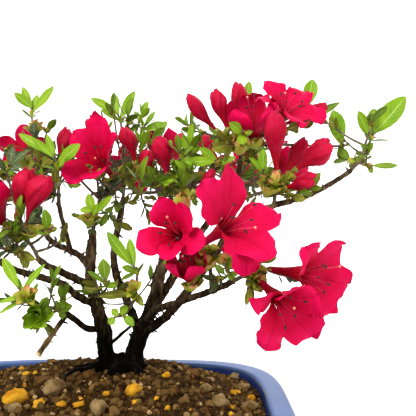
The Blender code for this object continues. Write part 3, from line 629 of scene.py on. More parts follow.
footShape = {
    "heights": (64, 72, 79), "saddle": (13.0, -7.0),
     # the saddle's radius at its foot, and its change to the top
    "legs": [([(13.5, 20, 66), (11, 20, 75), (10, 20, 82)], (7.0, 4.3)),
             ([(20.5, 20, 66), (24, 20, 75), (25, 20, 82)], (7.5, 4.8))],
    "roots": 6, "rootReach": 14.0, "rootRadius": 2.6, "voxel": 0.45,
    "surfaceRoots": [  # two that lie on the soil: route, radius at the foot and at the tip
        ([(14, 20, 77), (8, 19, 75.2), (1, 15, 74.6), (-5, 12, 74.4), (-8, 4, 73.6), (-7, -4, 71.5)],
         (1.7, 1.0)),
        ([(12, 24, 76), (4, 26, 74.6), (-2, 24, 74.2), (-10, 27, 72.5)], (1.5, 0.9)),
    ],
}
limbs = {  # the node, the route, and the radius at the foot and at the tip
    "left_stem": ([(10, 20, 79), (9, 18, 93), (6, 16, 106), (3, 15, 117), (2, 16, 130), (3, 15, 141),
                   (4, 12, 147)],
                  (4.1, 1.7)),
    "right_stem": ([(24.5, 20, 79), (28, 20, 91), (33, 21, 103), (37, 23, 118), (40, 27, 132), (43, 29, 147),
                    (44, 29, 158)], (4.6, 1.4)),
    "centre_bough": ([(27, 21, 93), (20, 29, 107), (13, 33, 122), (11, 36, 136), (13, 40, 150),
                      (15, 44, 166)],
                     (2.3, 1.3)),
    "right_back_bough": ([(31, 20.5, 101), (42, 33, 116), (50, 44, 131), (61, 52, 147), (72, 58, 163)],
                         (2.4, 1.3)),
    "right_bough": ([(28, 20, 91), (41, 14, 101), (50, 11, 111), (59, 6, 123), (71, 0, 140), (80, -3, 152),
                     (90, -4, 158.5)], (2.2, 1.4)),
    "front_bough": ([(29.5, 20, 97), (38, 4, 107), (49, -6, 112), (58, -13, 116), (67, -20, 120),
                     (76, -25, 124.5)],
                    (1.7, 1.1)),
    "right_inner_bough": ([(38, 25, 126), (46, 24, 138), (52, 20, 149), (54, 17, 158)], (1.5, 1.0)),
    "top_right_bough": ([(68, 1.5, 136), (76, 9, 151), (80, 12, 168), (81, 14, 184)], (1.3, 1.1)),
    "right_arm": ([(86, -3.6, 156), (98, -3, 160), (115, 4, 165), (129, 10, 172), (140, 14, 179)],
                  (1.35, 0.9)),
    "left_low_bough": ([(8, 17.5, 95), (2, 9, 97), (-3, 2, 103), (-7, -2, 107)], (1.4, 1.2)),
    "cut_spur": ([(-6, -1, 105.5), (-11, -4.5, 98), (-18, -8, 87)], (0.95, 1.1)),
    "left_bough": ([(3, 15, 117), (-3, 8, 122), (-9, 2, 126), (-15, -4, 130), (-19, -7, 134)], (1.9, 1.2)),
    "far_left_bough": ([(5.5, 15.5, 108), (-2, 8, 113), (-8, 1, 120), (-17, -4, 124), (-32, -6, 129),
                        (-46, -2, 136)],
                       (1.8, 1.1)),
    "left_back_bough": ([(2, 15.7, 127), (-4, 20, 133), (-12, 22, 137), (-21, 25, 141), (-30, 34, 150),
                         (-36, 44, 163)], (1.6, 1.0)),
    "left_rising_bough": ([(-10, 21.5, 136.5), (-12, 17, 148), (-14, 11, 162)], (1.0, 0.85)),
    "crossing_twig": ([(9.4, 18.7, 86), (14.5, 13.5, 89), (20, 12, 94), (26, 11.5, 99)], (0.7, 0.45)),
}
barkShape = {"ridge": 0.15, "knotEvery": 5.5, "knot": 0.42, "fine": 0.06, "swell": 0.25}
spurShape = {"lowest": 88, "density": 13000.0, "Radius Top": 0.3, "Radius Bottom": 0.8, "Depth": 2.6}


def barkRadius(radius, length, rng):
    # the taper, broken by flat ridges along the limb and by knots where twigs once stood
    knots = []
    far = rng.uniform(2, 5)
    while far < length:
        knots.append((far / length, rng.uniform(0, 6.28), rng.uniform(0.5, 1.2)))
        far += barkShape["knotEvery"] * rng.uniform(0.5, 1.5)
    width = 1.1 / length

    def at(share, turn, place, out):
        base = radius[0] + (radius[1] - radius[0]) * share
        flat = Vector((place.x, place.y, place.z * 0.35)) * 0.45
        rough = noise.noise(flat + out * 1.7) * barkShape["ridge"]
        fine = noise.noise(place * 0.9 + out * base * 1.6) * barkShape["fine"]
        bulge = 0.0
        for where, facing, strength in knots:
            near = math.exp(-(((share - where) / width) ** 2))
            bulge += near * strength * barkShape["knot"] * (0.45 + 0.55 * math.cos(turn - facing))
        return (base + barkShape["swell"]) * (1 + rough * 1.6 + fine) + bulge * min(1.0, base * 0.6)

    return at


def makeLimbs(finish):
    gather, rng = newGather(), random.Random(3)
    for places, radius in limbs.values():
        route = smoothRoute(places, 4)
        length = routeLength(route)
        route = smoothRoute(route, max(1, round(length / len(route) / 0.55)))
        sides = 20 if radius[0] > 3 else 14 if radius[0] > 1.5 else 10
        addTube(gather, route, barkRadius(radius, length, rng), sides)
    return makePiece("boughBark", gather, finish, list(limbs))


def trunkParts():
    # the flared foot: a saddle, two legs that lead to the stems, short roots all round and two long ones
    gather, centre = newGather(), Vector((trunkX, trunkY, 0))
    low, middle, top = (centre + Vector((0, 0, z)) for z in footShape["heights"])
    addTube(gather, smoothRoute([low, middle, top], 6), tapered(*footShape["saddle"]), 32)
    for route, (thick, thin) in footShape["legs"]:
        addTube(gather, smoothRoute(route, 8), tapered(thick, thin - thick), 28)
    for k in range(footShape["roots"]):
        turn = 2 * math.pi * (k + 0.3) / footShape["roots"]
        out = Vector((1.15 * math.cos(turn), 0.9 * math.sin(turn), 0))
        reach = footShape["rootReach"] * (1.25 if k % 2 else 1.0)
        route = [centre + out * 3 + Vector((0, 0, 79)), centre + out * reach * 0.62 + Vector((0, 0, 75)),
                 centre + out * (reach + 4) + Vector((0, 0, 70.5))]
        thick = footShape["rootRadius"]
        addTube(gather, smoothRoute(route, 6), lambda share, turn, place, out: thick * (1.3 - 0.6 * share),
                16)
    for route, (thick, thin) in footShape["surfaceRoots"]:
        addTube(gather, smoothRoute(route, 6), tapered(thick, thin - thick), 14)
    return gather


def makeTrunk(finish):
    # the parts of the foot melted into one skin, with the bark's ridges pressed in
    gather = trunkParts()
    mesh = bpy.data.meshes.new("trunkRaw")
    mesh.from_pydata([Vector(p) * mm for p in gather["points"]], [], gather["faces"])
    raw = addObject("trunkRaw", mesh)
    melt = raw.modifiers.new("melt", "REMESH")
    melt.mode, melt.voxel_size = "VOXEL", footShape["voxel"] * mm
    smooth = raw.modifiers.new("smooth", "SMOOTH")
    smooth.factor, smooth.iterations = 0.8, 12
    skin = takeResult(raw)
    for vertex in skin.vertices:
        place = vertex.co / mm
        stretched = Vector((place.x, place.y, place.z * 0.3))
        ridge = abs(noise.noise(stretched * 0.5)) * 0.9 + noise.noise(place * 1.1) * 0.22
        vertex.co += vertex.normal * (ridge - 0.35) * mm
    groundLow = (soilShape["groundZ"] - 1.5) * mm
    for vertex in skin.vertices:
        vertex.co.z = max(vertex.co.z, groundLow)
    skin.shade_smooth()
    skin.materials.clear()
    skin.materials.append(finish)
    keepPiece("trunkBark", skin, ["trunk"])


def spurTree():
    settings = {"Density": 9000.0, "Smallest": 0.4, "Largest": 1.0, "Seed": 1, "Material": None}
    tree, add, given = scatterTree("spurs", settings)
    # none on the dark foot of the tree
    points = placeWhere(add, given, add("GeometryNodeInputPosition")["Position"], spurShape["lowest"] * mm)
    sizes = {key: spurShape[key] * mm for key in ("Radius Top", "Radius Bottom", "Depth")}
    stub = add("GeometryNodeMeshCone", {"Vertices": 7, "Side Segments": 4, **sizes})["Mesh"]
    size = add("FunctionNodeRandomValue", {2: given["Smallest"], 3: given["Largest"]})[1]
    tip = add("FunctionNodeRandomValue", {0: (-0.5, -0.5, 0), 1: (0.5, 0.5, 6)}, data_type="FLOAT_VECTOR")[0]
    feeds = {"Rotation": points["Rotation"], "Rotate By": tip}
    lean = add("FunctionNodeRotateRotation", feeds, rotation_space="LOCAL")["Rotation"]
    spurs = putInstances(add, points, stub, lean, size)
    endTree(add, given, add("GeometryNodeRealizeInstances", {"Geometry": spurs})["Geometry"])
    return tree


def barkMaterial():
    paint = Paint("boughBark", 0.9, Specular_IOR_Level=0.06)
    along = paint.stretched(paint.coords, (1.0, 1.0, 0.35))
    plates, streaks = paint.noise(420, 7, along), paint.noise(1100, 3, along)
    upper = paint.ramp(plates, [(0.3, tint(36, 26, 16)), (0.5, tint(80, 62, 42)), (0.72, tint(142, 122, 92))])
    lower = paint.ramp(plates, [(0.3, tint(1, 1, 0)), (0.55, tint(8, 5, 2)), (0.8, tint(44, 33, 20))])
    bark = paint.mix(paint.between(paint.part("Z"), 0.09, 0.138), lower, upper)
    # the cut spur is drier and paler, most of all at its cut end
    cut = [mm * v for v in limbs["cut_spur"][0][-1]]
    far = paint.node("VectorMath", {0: paint.coords, 1: cut}, operation="DISTANCE")["Value"]
    spur = paint.ramp(plates, [(0.3, tint(60, 44, 26)), (0.5, tint(122, 98, 64)),
                               (0.72, tint(176, 152, 108))])
    dried = paint.mix(paint.between(far, 0.021, 0.012), bark, spur)
    base = paint.mix(paint.between(far, 0.0021, 0.0016), dried, tint(214, 192, 132))
    lit = paint.mix(paint.times(streaks, 0.5), base, tint(120, 108, 92), "SOFT_LIGHT")
    return paint.finish(lit, paint.plus(plates, paint.times(streaks, 0.5)), 0.6, 0.0012)


# foliage

masses = {  # each keeps to the space round its heart; blooms: kind, foot, mouth or tip, width, roll
    "front_bloom": {
        "root": (66, -19.2, 119.5), "heart": (65, -27, 134), "space": (34, 30, 32), "fill": 0,
        "seed": 11, "inner": 3,
        "blooms": [("open", (62.5, -34.5, 142.3), (78, -55, 153.5), 41, 0),
                   ("open", (54, -28, 143), (48.5, -46, 147.5), 29, 0),
                   ("cup", (56, -34, 125), (55, -40, 136), 16, 0)],
        "tufts": [((70, -28, 126), (63, -33, 124), 8, 3, "old"),
                  ((70, -30, 136), (77, -34, 133), 8, 3, "mid")],
    },
    "low_right_bloom": {
        "root": (75, -24.5, 124), "heart": (84, -26, 127), "space": (40, 34, 32), "fill": 0,
        "seed": 12, "inner": 2,
        "blooms": [("open", (87, -30, 125.5), (98, -51, 115), 36, 0),
                   ("open", (92, -24, 130), (113, -41, 128), 36, 0),
                   ("cup", (87, -21, 129), (80, -13, 143), 18, 0)],
        "tufts": [((82, -30, 126), (83, -33, 116), 9, 3, "olive"),
                  ((88, -20, 132), (93, -18, 139), 9, 3, "young")],
    },
    "top_right_bloom": {
        "root": (80.8, 13.8, 182), "heart": (84, 15, 196), "space": (42, 34, 34), "fill": 6,
        "seed": 13, "inner": 6,
        "blooms": [("bud", (70, 14, 199), (54, 8, 217), 8, 0),
                   ("bud", (75, 13, 199), (67.5, 11, 221.5), 8, 40),
                   ("bud", (79, 20, 201), (80.7, 22, 227.5), 8, 80),
                   ("cup", (89, 14, 194), (86.5, 1, 212), 23, 10),
                   ("open", (100, 17, 202), (107, 3, 214), 37, 20),
                   ("bud", (103, 20, 204), (127, 16, 214), 9, 0),
                   ("cup", (88, 32, 200), (86, 46, 216), 24, 0)],
        "tufts": [((78, 8, 192), (70, -2, 190), 12, 4, "olive")],
    },
    "right_bud_cluster": {
        "root": (97, -3.1, 159.8), "heart": (98, -3, 167), "space": (30, 26, 30), "fill": 3,
        "seed": 14, "inner": 4,
        "blooms": [("bud", (101, -3, 167.5), (117, -11, 173.5), 10.5, 0),
                   ("bud", (98, -8, 174.5), (96, -19, 203.5), 10, 30),
                   ("bud", (107, 0, 177), (125, -5, 190.5), 11, 60),
                   ("bud", (103, 10, 173), (116, 18, 196), 9, 0)],
        "tufts": [((104, -5, 165), (108, -12, 161), 8, 3, "olive"),
                  ((92, -6, 172), (90, -10, 184), 11, 4, "young")],
    },
    "right_tip_leaves": {
        "root": (139.4, 13.8, 178.6), "heart": (147, 17, 184), "space": (36, 30, 36), "fill": 1,
        "seed": 15, "inner": 4,
        "blooms": [],
        "tufts": [((142, 18, 184), (136, 26, 188), 11, 4, "mid")],
    },
    "crown_leaves": {
        "root": (53.8, 17.3, 157), "heart": (55, 18, 172), "space": (22, 30, 34), "fill": 8,
        "seed": 16, "inner": 8,
        "blooms": [("bud", (56, 5, 166), (67, 5, 178), 7, 0), ("bud", (62, 20, 180), (66, 14, 190), 8, 0)],
        "tufts": [((55, 32, 203), (49, 42, 216), 13, 4, "young"),
                  ((56, 24, 186), (54, 20, 199), 14, 5, "young"), ((51, 9, 167), (51, 3, 181), 15, 4, "mid")],
    },
    "crown_middle": {
        "root": (43.9, 29, 157), "heart": (38, 26, 170), "space": (22, 26, 32), "fill": 6,
        "seed": 17, "inner": 12, "sink": -0.6,
        "blooms": [("bud", (43, 12, 173), (38, 8, 196), 10, 0), ("bud", (31, 29, 176), (30, 31, 192), 9, 0),
                   ("bud", (24, 27, 183), (17, 29, 204), 10, 0)],
        "tufts": [((30, 7, 168), (30, 2, 182), 15, 3, "mid"), ((36, 6, 170), (44, -2, 176), 13, 3, "mid"),
                  ((26, 36, 192), (26, 38, 203), 11, 4, "young")],
    },
    "crown_left_bloom": {
        "root": (3.7, 12.8, 145.5), "heart": (7, 17, 166), "space": (26, 26, 36), "fill": 7,
        "seed": 18, "inner": 16, "sink": -0.8,
        "blooms": [("open", (12, 24, 177), (6, 6, 186), 34, 0), ("bud", (2, 30, 180), (-4, 38, 200), 9, 0)],
        "tufts": [((-8, 22, 178), (-16, 18, 190), 13, 4, "mid"),
                  ((22, 14, 176), (24, 4, 172), 9, 4, "olive")],
    },
    "left_shoots": {
        "root": (-13.8, 11.6, 160.5), "heart": (-13, 8, 171), "space": (20, 24, 32),
        "fill": 3, "seed": 19, "inner": 9, "sink": -0.6,
        "blooms": [],
        "tufts": [((-15, 7, 165), (-21, -2, 166), 10, 5, "old"),
                  ((-12, 12, 178), (-14, 24, 194), 11, 4, "mid")],
    },
    "left_bloom": {
        "root": (-18.2, -6.4, 133), "heart": (-24, -8, 143), "space": (26, 28, 36), "fill": 4,
        "seed": 20, "inner": 8,
        "blooms": [("bud", (-29, -8, 153), (-23, -10, 177), 12.5, 0),
                   ("bud", (-23, -10, 150), (-13, -14, 174), 13.5, 50),
                   ("cup", (-36, -4, 150), (-46, -12, 167), 22, 0)],
        "tufts": [((-25, -15, 139), (-20, -23, 134), 10, 4, "olive"),
                  ((-30, -12, 138), (-38, -22, 141), 13, 5, "old")],
    },
    "lower_left_leaves": {
        "root": (-6.4, -1.4, 106.3), "heart": (-13, -14, 111), "space": (26, 30, 28),
        "fill": 3, "seed": 21, "inner": 7,
        "blooms": [],
        "tufts": [((-15, -16, 107), (-10, -20, 102), 8, 4, "olive"),
                  ((-7, -6, 110), (-5, -9, 118), 9, 4, "mid")],
    },
    "far_left_bloom": {
        "root": (-44.5, -2.4, 135.2), "heart": (-57, 4, 146), "space": (36, 38, 38), "fill": 9,
        "seed": 22, "inner": 14,
        "blooms": [("open", (-64, -10, 156), (-72, -24, 166), 34, 0),
                   ("bud", (-56, -16, 157), (-60, -24, 179), 10, 0),
                   ("cup", (-72, 12, 160), (-86, 16, 174), 26, 0),
                   ("bud", (-62, 20, 164), (-62, 26, 188), 10, 0)],
        "tufts": [((-48, -8, 140), (-46, -20, 134), 13, 5, "mid"),
                  ((-56, -16, 146), (-62, -28, 142), 14, 5, "young")],
    },
    "back_left_crown": {
        "root": (-35.4, 42.8, 161.6), "heart": (-40, 52, 180), "space": (34, 38, 44),
        "fill": 10, "seed": 23, "inner": 16,
        "blooms": [("open", (-50, 66, 190), (-56, 82, 200), 33, 0),
                   ("bud", (-30, 66, 188), (-26, 72, 211), 10, 0),
                   ("cup", (-60, 48, 182), (-74, 44, 194), 25, 0)],
        "tufts": [((-31, 42, 188), (-43, 36, 200), 16, 4, "olive")],
    },
    "back_middle_crown": {
        "root": (14.8, 43.6, 164.5), "heart": (14, 58, 186), "space": (34, 34, 50), "fill": 11,
        "seed": 24, "inner": 16,
        "blooms": [("open", (14, 78, 184), (10, 96, 188), 34, 0),
                   ("cup", (30, 72, 192), (38, 84, 206), 26, 0),
                   ("bud", (-2, 62, 196), (-10, 66, 217), 10, 0)],
        "tufts": [((30, 56, 200), (37, 56, 214), 12, 4, "young")],
    },
    "back_right_crown": {
        "root": (71.2, 57.6, 161.8), "heart": (80, 66, 178), "space": (40, 36, 38),
        "fill": 13, "seed": 25, "inner": 18,
        "blooms": [("open", (84, 86, 182), (88, 102, 190), 34, 0),
                   ("cup", (106, 74, 182), (122, 76, 192), 26, 0),
                   ("bud", (92, 66, 194), (96, 64, 216), 10, 0),
                   ("bud", (66, 78, 188), (62, 86, 210), 10, 0)],
        "tufts": [],
    },
    "inner_shoot": {
        "root": (21.5, 27, 104), "heart": (26, 17, 111), "space": (24, 26, 34), "fill": 0,
        "seed": 26, "inner": 2,
        "blooms": [],
        "tufts": [],
    },
    "left_inner_shoot": {
        "root": (5, 15.6, 110), "heart": (10, 9, 115), "space": (16, 22, 24), "fill": 0,
        "seed": 27, "inner": 3,
        "blooms": [],
        "tufts": [((10, 5, 117), (4, 0, 122), 9, 3, "olive")],
    },
}
sprays = {  # the sprays of leaves that stand out: kind, foot, and the tip and width of each leaf
    "back_left_crown": [
        ("young", (-44, 60, 217), [((-54, 58, 231), 6), ((-51, 62, 235), 5), ((-30, 58, 235), 6),
                                   ((-42, 64, 231), 5)]),
    ],
    "back_middle_crown": [
        ("young", (9, 70, 215), [((-9, 68, 231), 6), ((3, 74, 235), 6), ((19, 68, 234), 7),
                                 ((-2, 64, 222), 5)]),
        ("young", (23, 68, 209), [((18, 68, 222), 3.5), ((30, 72, 223), 3.5), ((36, 64, 214), 5)]),
    ],
    "left_shoots": [
        ("young", (-12, 3, 179), [((-34, 6, 197), 5), ((-24, 0, 194), 4), ((-18, 2, 196), 4),
                                  ((0, 0, 191), 7.5),
                          ((-3, -8, 186), 7)]),
    ],
    "left_bloom": [
        ("old", (-35, -6, 177), [((-33, -4, 189), 4), ((-23, -12, 187), 4), ((-25, -14, 178), 5)]),
    ],
    "lower_left_leaves": [
        ("young", (-17, -22, 117), [((-31, -20, 135), 4.8), ((-10, -26, 132), 3.4), ((-27, -18, 126), 3.4),
                                    ((-31, -26, 115), 2.5),
                            ((-32, -24, 110), 2.3)]),
    ],
    "inner_shoot": [
        ("young", (28, 6, 126), [((12, 4, 146), 6), ((23, 9, 143), 5), ((22, -2, 129), 4)]),
        ("olive", (26, 8, 116), [((9, 4, 114), 5), ((32, 2, 110), 4)]),
        ("young", (21, 8, 104), [((14, 4, 100), 4.5), ((15, 8, 107), 4), ((22, 10, 109), 4.5),
                                 ((27, 4, 99), 4.5)]),
    ],
    "left_inner_shoot": [
        ("mid", (13, 4, 119), [((12, 2, 133), 6.5), ((4, 0, 127), 3), ((19, -2, 120), 4)]),
    ],
    "crown_left_bloom": [
        ("young", (5, 4, 153), [((0, 0, 158), 4), ((4, 2, 166), 5), ((17, -2, 165), 4), ((10, -6, 160), 4)]),
    ],
    "crown_leaves": [
        ("young", (71, 6, 181), [((53, -2, 182), 5.5), ((60, 4, 190), 5), ((78, 2, 185), 4)]),
    ],
    "top_right_bloom": [
        ("young", (119, 24, 215), [((122, 26, 231), 8)]),
        ("mid", (116, 28, 206), [((138, 32, 220), 5), ((127, 36, 212), 5)]),
        ("young", (137, 22, 193), [((131, 20, 212), 10)]),
        ("young", (86, 28, 217), [((87, 30, 231), 5), ((81, 36, 226), 5)]),
    ],
    "right_tip_leaves": [
        ("young", (152, 19, 196), [((171, 16, 217), 11.5), ((161, 24, 214), 7), ((144, 16, 211), 7)]),
        ("mid", (148, 15, 182), [((164, 12, 181), 4), ((142, 20, 186), 4), ((153, 18, 178), 4)]),
    ],
}
lobeTables = {  # flowers whose petals stand out, by their mouths: turn, reach, width and lift of each petal
    (78, -55, 153.5): [(56, 1.08, 0.46, 0.1), (-2, 1.12, 0.44, 0.05), (-84, 1.05, 0.38, 0.0),
                       (-158, 0.98, 0.52, 0.12), (-176, 1.06, 0.6, -0.4)],
    (48.5, -46, 147.5): [(21, 0.92, 0.52, 0.4), (-54, 0.88, 0.5, 0.6), (-111, 1.15, 0.46, 0.1),
                         (-174, 0.86, 0.46, 0.2), (-246, 1.1, 0.5, 0.05)],
    (98, -51, 115): [(70, 1.15, 0.36, 0.0), (23, 0.95, 0.4, 0.45), (-55, 0.75, 0.5, 0.1),
                     (-133, 1.2, 0.54, 0.0), (-203, 1.08, 0.52, 0.0)],
    (113, -41, 128): [(40, 0.95, 0.5, -0.1), (-50, 1.12, 0.5, 0.1), (-102, 1.35, 0.48, 0.1),
                      (-146, 1.15, 0.5, 0.0), (-190, 1.0, 0.34, 0.0)],
    (6, 6, 186): [(50, 1.02, 0.5, 0.35), (-7, 1.12, 0.44, 0.55), (-77, 0.98, 0.56, 0.6),
                  (-159, 1.1, 0.56, 0.4), (-217, 1.14, 0.64, 0.05)],
}
rosettes = {  # place, heading, how many, length, how far they close, and a kind if they are leaves
    "left_bloom": [((-28, -10, 143), (0.1, -0.5, 1), 12, 9.5, 0.5, "olive"),
                   ((-20, -12, 145), (0.3, -0.5, 1), 8, 7.5, 0.3)],
    "lower_left_leaves": [((-18, -22, 115), (0, -0.7, 0.8), 9, 8.0, 0.0),
                          ((-15, -22, 109), (0.1, -0.8, -0.1), 10, 9.0, 0.2, "young")],
    "back_left_crown": [((-42, 60, 206), (0.1, -0.2, 1), 12, 9.0, 0.2)],
    "crown_left_bloom": [((4, 3, 150), (0, -0.6, 0.9), 9, 7.0, 0.1)],
    "inner_shoot": [((27, 5, 116), (0, -0.8, 0.6), 9, 6.0, 0.0)],
    "front_bloom": [((63.5, -31, 131), (0.1, -0.5, 1), 13, 7.6, 0.5),
                    ((70, -31, 134), (0.5, -0.7, 0.6), 9, 6.5, 0.6),
                    ((57, -31, 122), (0, -0.4, 1), 10, 6.0, 0.5)],
    "low_right_bloom": [((85, -27, 123), (0.6, -0.4, 0.5), 11, 7.0, 0.4),
                        ((83, -27, 128), (0.3, -0.5, 1), 8, 6.5, 0.4)],
    "crown_middle": [((51, -4, 159), (0, -0.7, 0.7), 12, 8.0, 1.0)],
    "top_right_bloom": [((73, 11, 189), (-0.3, -0.4, 1), 10, 7.0, 0.9),
                        ((80, 10, 189), (0.1, -0.5, 1), 10, 7.0, 0.9),
                        ((88, 10, 191), (0.3, -0.5, 1), 9, 6.5, 0.8)],
    "right_bud_cluster": [((97, -8, 171), (0, -0.4, 1), 10, 6.5, 0.5),
                          ((93, -4, 165), (0.3, -0.5, 0.6), 9, 8.0, 0.3)],
}
growth = {
    "rooted": 1.6, "leafStep": 1.5, "fillLength": (12, 17), "fillCount": (3, 4, 5), "fillShare": 0.8,
    "golden": math.radians(137.5), "leafWidth": 0.5, "pedicel": 6.5, "innerLength": (5.0, 9.5), "mouth": 40.0,
}
twigKinds = {  # radius at the foot and at the tip, and the sides
    "stem": (1.05, 0.8, 8), "tuft": (0.8, 0.5, 6), "fill": (0.75, 0.45, 6), "inner": (0.6, 0.38, 5),
    "flower": (0.8, 0.65, 6),
}
leafStations = (0.0, 0.07, 0.18, 0.32, 0.48, 0.64, 0.79, 0.91, 0.975, 1.0)  # a leaf's points along its length
scaleStations = (0.0, 0.2, 0.4, 0.6, 0.8, 0.94, 1.0)
bladeEdges = (-1, -0.5, 0, 0.5, 1)  # and those across
budOutline = (0.2, 0.23, 0.3, 0.44, 0.66, 0.88, 1.0, 1.0, 0.82, 0.45)
petalShape = {  # how far along and how far out a petal lies at even steps, and how wide its lobe is
    "open": {"far": (0.0, 0.34, 0.64, 0.84, 0.95, 1.0, 0.98),
             "out": (0.07, 0.11, 0.21, 0.42, 0.64, 0.84, 1.02), "wide": 0.41},
    "cup": {"far": (0.0, 0.22, 0.42, 0.6, 0.78, 0.93, 1.04),
            "out": (0.1, 0.34, 0.66, 0.88, 1.0, 1.0, 0.86), "wide": 0.66},
}
leafKinds = {  # the blade's colour, its second colour, the midrib, the gloss and how far the blade folds up
    "young": (tint(134, 170, 18), tint(106, 148, 8), tint(182, 204, 92), 0.5, 0.26),
    "mid": (tint(114, 144, 14), tint(82, 112, 6), tint(162, 184, 84), 0.5, 0.2),
    "olive": (tint(130, 132, 20), tint(92, 90, 8), tint(178, 174, 86), 0.6, 0.18),
    "old": (tint(64, 82, 28), tint(40, 54, 14), tint(150, 158, 112), 0.6, 0.12),
}
grains = {  # material, colours over a fine noise, roughness and the noise's scale
    "twigs": ("twigBark", [(0.3, tint(58, 46, 36)), (0.5, tint(96, 78, 58)),
                           (0.7, tint(140, 122, 92))], 0.85),
    "flowerStalks": ("flowerStalk", [(0.3, tint(112, 122, 36)), (0.6, tint(158, 164, 66)),
                                     (0.8, tint(190, 190, 110))], 0.6),
    "filaments": ("filament", [(0.3, tint(186, 16, 52)), (0.7, tint(222, 62, 92))], 0.5),
    "anthers": ("anther", [(0.3, tint(34, 12, 16)), (0.7, tint(78, 34, 36))], 0.8, 2500),
    "stigmas": ("stigma", [(0.3, tint(226, 128, 104)), (0.7, tint(240, 170, 140))], 0.4),
}
leafGathers = {kind: newGather() for kind in leafKinds}
gathers = {name: newGather() for name in ("twigs", "flowerStalks", "budScales", "petals", "buds", "filaments",
                                          "anthers", "stigmas")}


def addLeaf(kind, foot, tip, faceUp, rng, width=growth["leafWidth"], roll=0.45):
    foot, tip = Vector(foot), Vector(tip)
    along, length = (tip - foot).normalized(), (tip - foot).length
    across = along.cross(Vector(faceUp)).normalized()
    across = Matrix.Rotation(rng.uniform(-roll, roll), 3, along) @ across
    upward = across.cross(along)
    fold, bend = leafKinds[kind][4] * rng.uniform(0.5, 1.4), rng.uniform(-0.16, 0.14)
    fullest, sway = rng.uniform(1.05, 1.3), rng.uniform(-0.06, 0.06) * length
    points, uvs = [], []
    for share in leafStations:
        half = length * width / 2 * max(0.03, math.sin(math.pi * min(share ** fullest, 0.995)) ** 0.72)
        middle = foot + along * length * share + upward * length * bend * (share * share - share * 0.3)
        middle += across * sway * share * share
        ripple = rng.uniform(-0.015, 0.015) * length
        for edge in bladeEdges:
            lift = abs(edge) ** 1.4 * half * fold + ripple * edge * edge * min(1, share * 4)
            points.append(middle + across * half * edge + upward * lift)
            uvs.append((0.5 + 0.5 * edge, share))
    addShape(leafGathers[kind], points, gridFaces(len(leafStations), len(bladeEdges)), uvs)


def leafTuft(foot, tip, length, count, rng):
    # the same rule and the same draws as the solids': from the top leaf down, each a golden turn on
    foot, tip = Vector(foot), Vector(tip)
    axis = (tip - foot).normalized()
    side = axis.orthogonal().normalized()
    end = foot + axis * growth["leafStep"] * count
    found = []
    for k in range(count):
        out = Matrix.Rotation(k * growth["golden"] + rng.uniform(-0.3, 0.3), 3, axis) @ side
        lean = math.radians(14 + 38 * k / max(count - 1, 1))
        heading = axis * math.cos(lean) + out * math.sin(lean)
        start = end - axis * (growth["leafStep"] * k + growth["rooted"] * 0.6)
        found.append((start, start + heading * length * rng.uniform(0.9, 1.0), axis * 0.4 - out))
    return end, found


def leafSpray(foot, blades):
    # leaves whose tips are given, each a step further down the shoot
    foot = Vector(foot)
    axis = (sum((Vector(tip) for tip, _ in blades), Vector()) / len(blades) - foot).normalized()
    end = foot + axis * growth["leafStep"] * len(blades)
    found = []
    for k, (tip, width) in enumerate(blades):
        start = end - axis * (growth["leafStep"] * k + growth["rooted"] * 0.6)
        found.append((start, Vector(tip), Vector((0, -1, 0.4)), width))
    return end, found


def addTwig(places, kind, rng):
    radius, tipRadius, sides = twigKinds[kind]
    route = smoothRoute(places, 4)
    rings = max(4, round(routeLength(route) / 1.1))
    picked = [route[min(len(route) - 1, round(k * (len(route) - 1) / rings))] for k in range(rings + 1)]
    picked = [p for k, p in enumerate(picked) if k == 0 or (p - picked[k - 1]).length > 1e-4]
    shift = rng.uniform(0, 50)

    def at(share, turn, place, out):
        far = place.x * 0.5 + place.y * 0.4 + place.z + shift
        knobs = 0.16 * max(0.0, math.sin(far * 1.9)) ** 3
        return (radius + (tipRadius - radius) * share) * (1 + knobs + 0.12 * noise.noise(place * 0.8))

    addTube(gathers["twigs"], picked, at, sides)


def addScales(place, axis, count, length, rng, spread=48, closed=0.0, gather=gathers["budScales"]):
    # the papery scales that stay round the foot of a flower or a new shoot
    axis = axis.normalized()
    side = axis.orthogonal().normalized()
    for k in range(count):
        turned = Matrix.Rotation(k * growth["golden"] + rng.uniform(-0.4, 0.4), 3, axis) @ side
        lean = math.radians(rng.uniform(12, spread))
        along = (axis * math.cos(lean) + turned * math.sin(lean)).normalized()
        across = along.cross(turned).normalized()
        upward = across.cross(along)
        if upward.dot(turned) > 0:
            upward = -upward
        size, half = length * rng.uniform(0.75, 1.15), length * rng.uniform(0.34, 0.46)
        foot = place - axis * rng.uniform(0.0, 2.0) + turned * 0.5
        points, uvs = [], []
        for share in scaleStations:
            wide = (0.3 + 0.7 * math.sin(math.pi * min(share / 0.6, 1) / 2)) * (1 - share ** 5 * 0.85)
            wide = half * max(0.12, wide)
            hooked = 0.5 * share * share - 0.34 * math.sin(math.pi * share)
            arch = 0.22 * math.sin(share * 2.4) * (1 - closed) + closed * hooked
            for edge in bladeEdges:
                cup = upward * (edge * edge * wide * 0.75 + size * arch)
                points.append(foot + along * size * share + across * wide * edge + cup)
                uvs.append((0.5 + 0.5 * edge, share))
        addShape(gather, points, gridFaces(len(scaleStations), len(bladeEdges)), uvs)


def curveValue(values, share):
    place = share * (len(values) - 1)
    low = min(int(place), len(values) - 2)
    part = place - low
    eased = part * part * (3 - 2 * part)
    return values[low] + (values[low + 1] - values[low]) * (0.5 * part + 0.5 * eased)


def flowerFrame(foot, tip, roll):
    axis = (tip - foot).normalized()
    upward = Vector((0, 0, 1)) - axis * axis.z
    upward = upward.normalized() if upward.length > 0.2 else axis.orthogonal().normalized()
    return axis, (tip - foot).length, Matrix.Rotation(math.radians(roll), 3, axis) @ upward


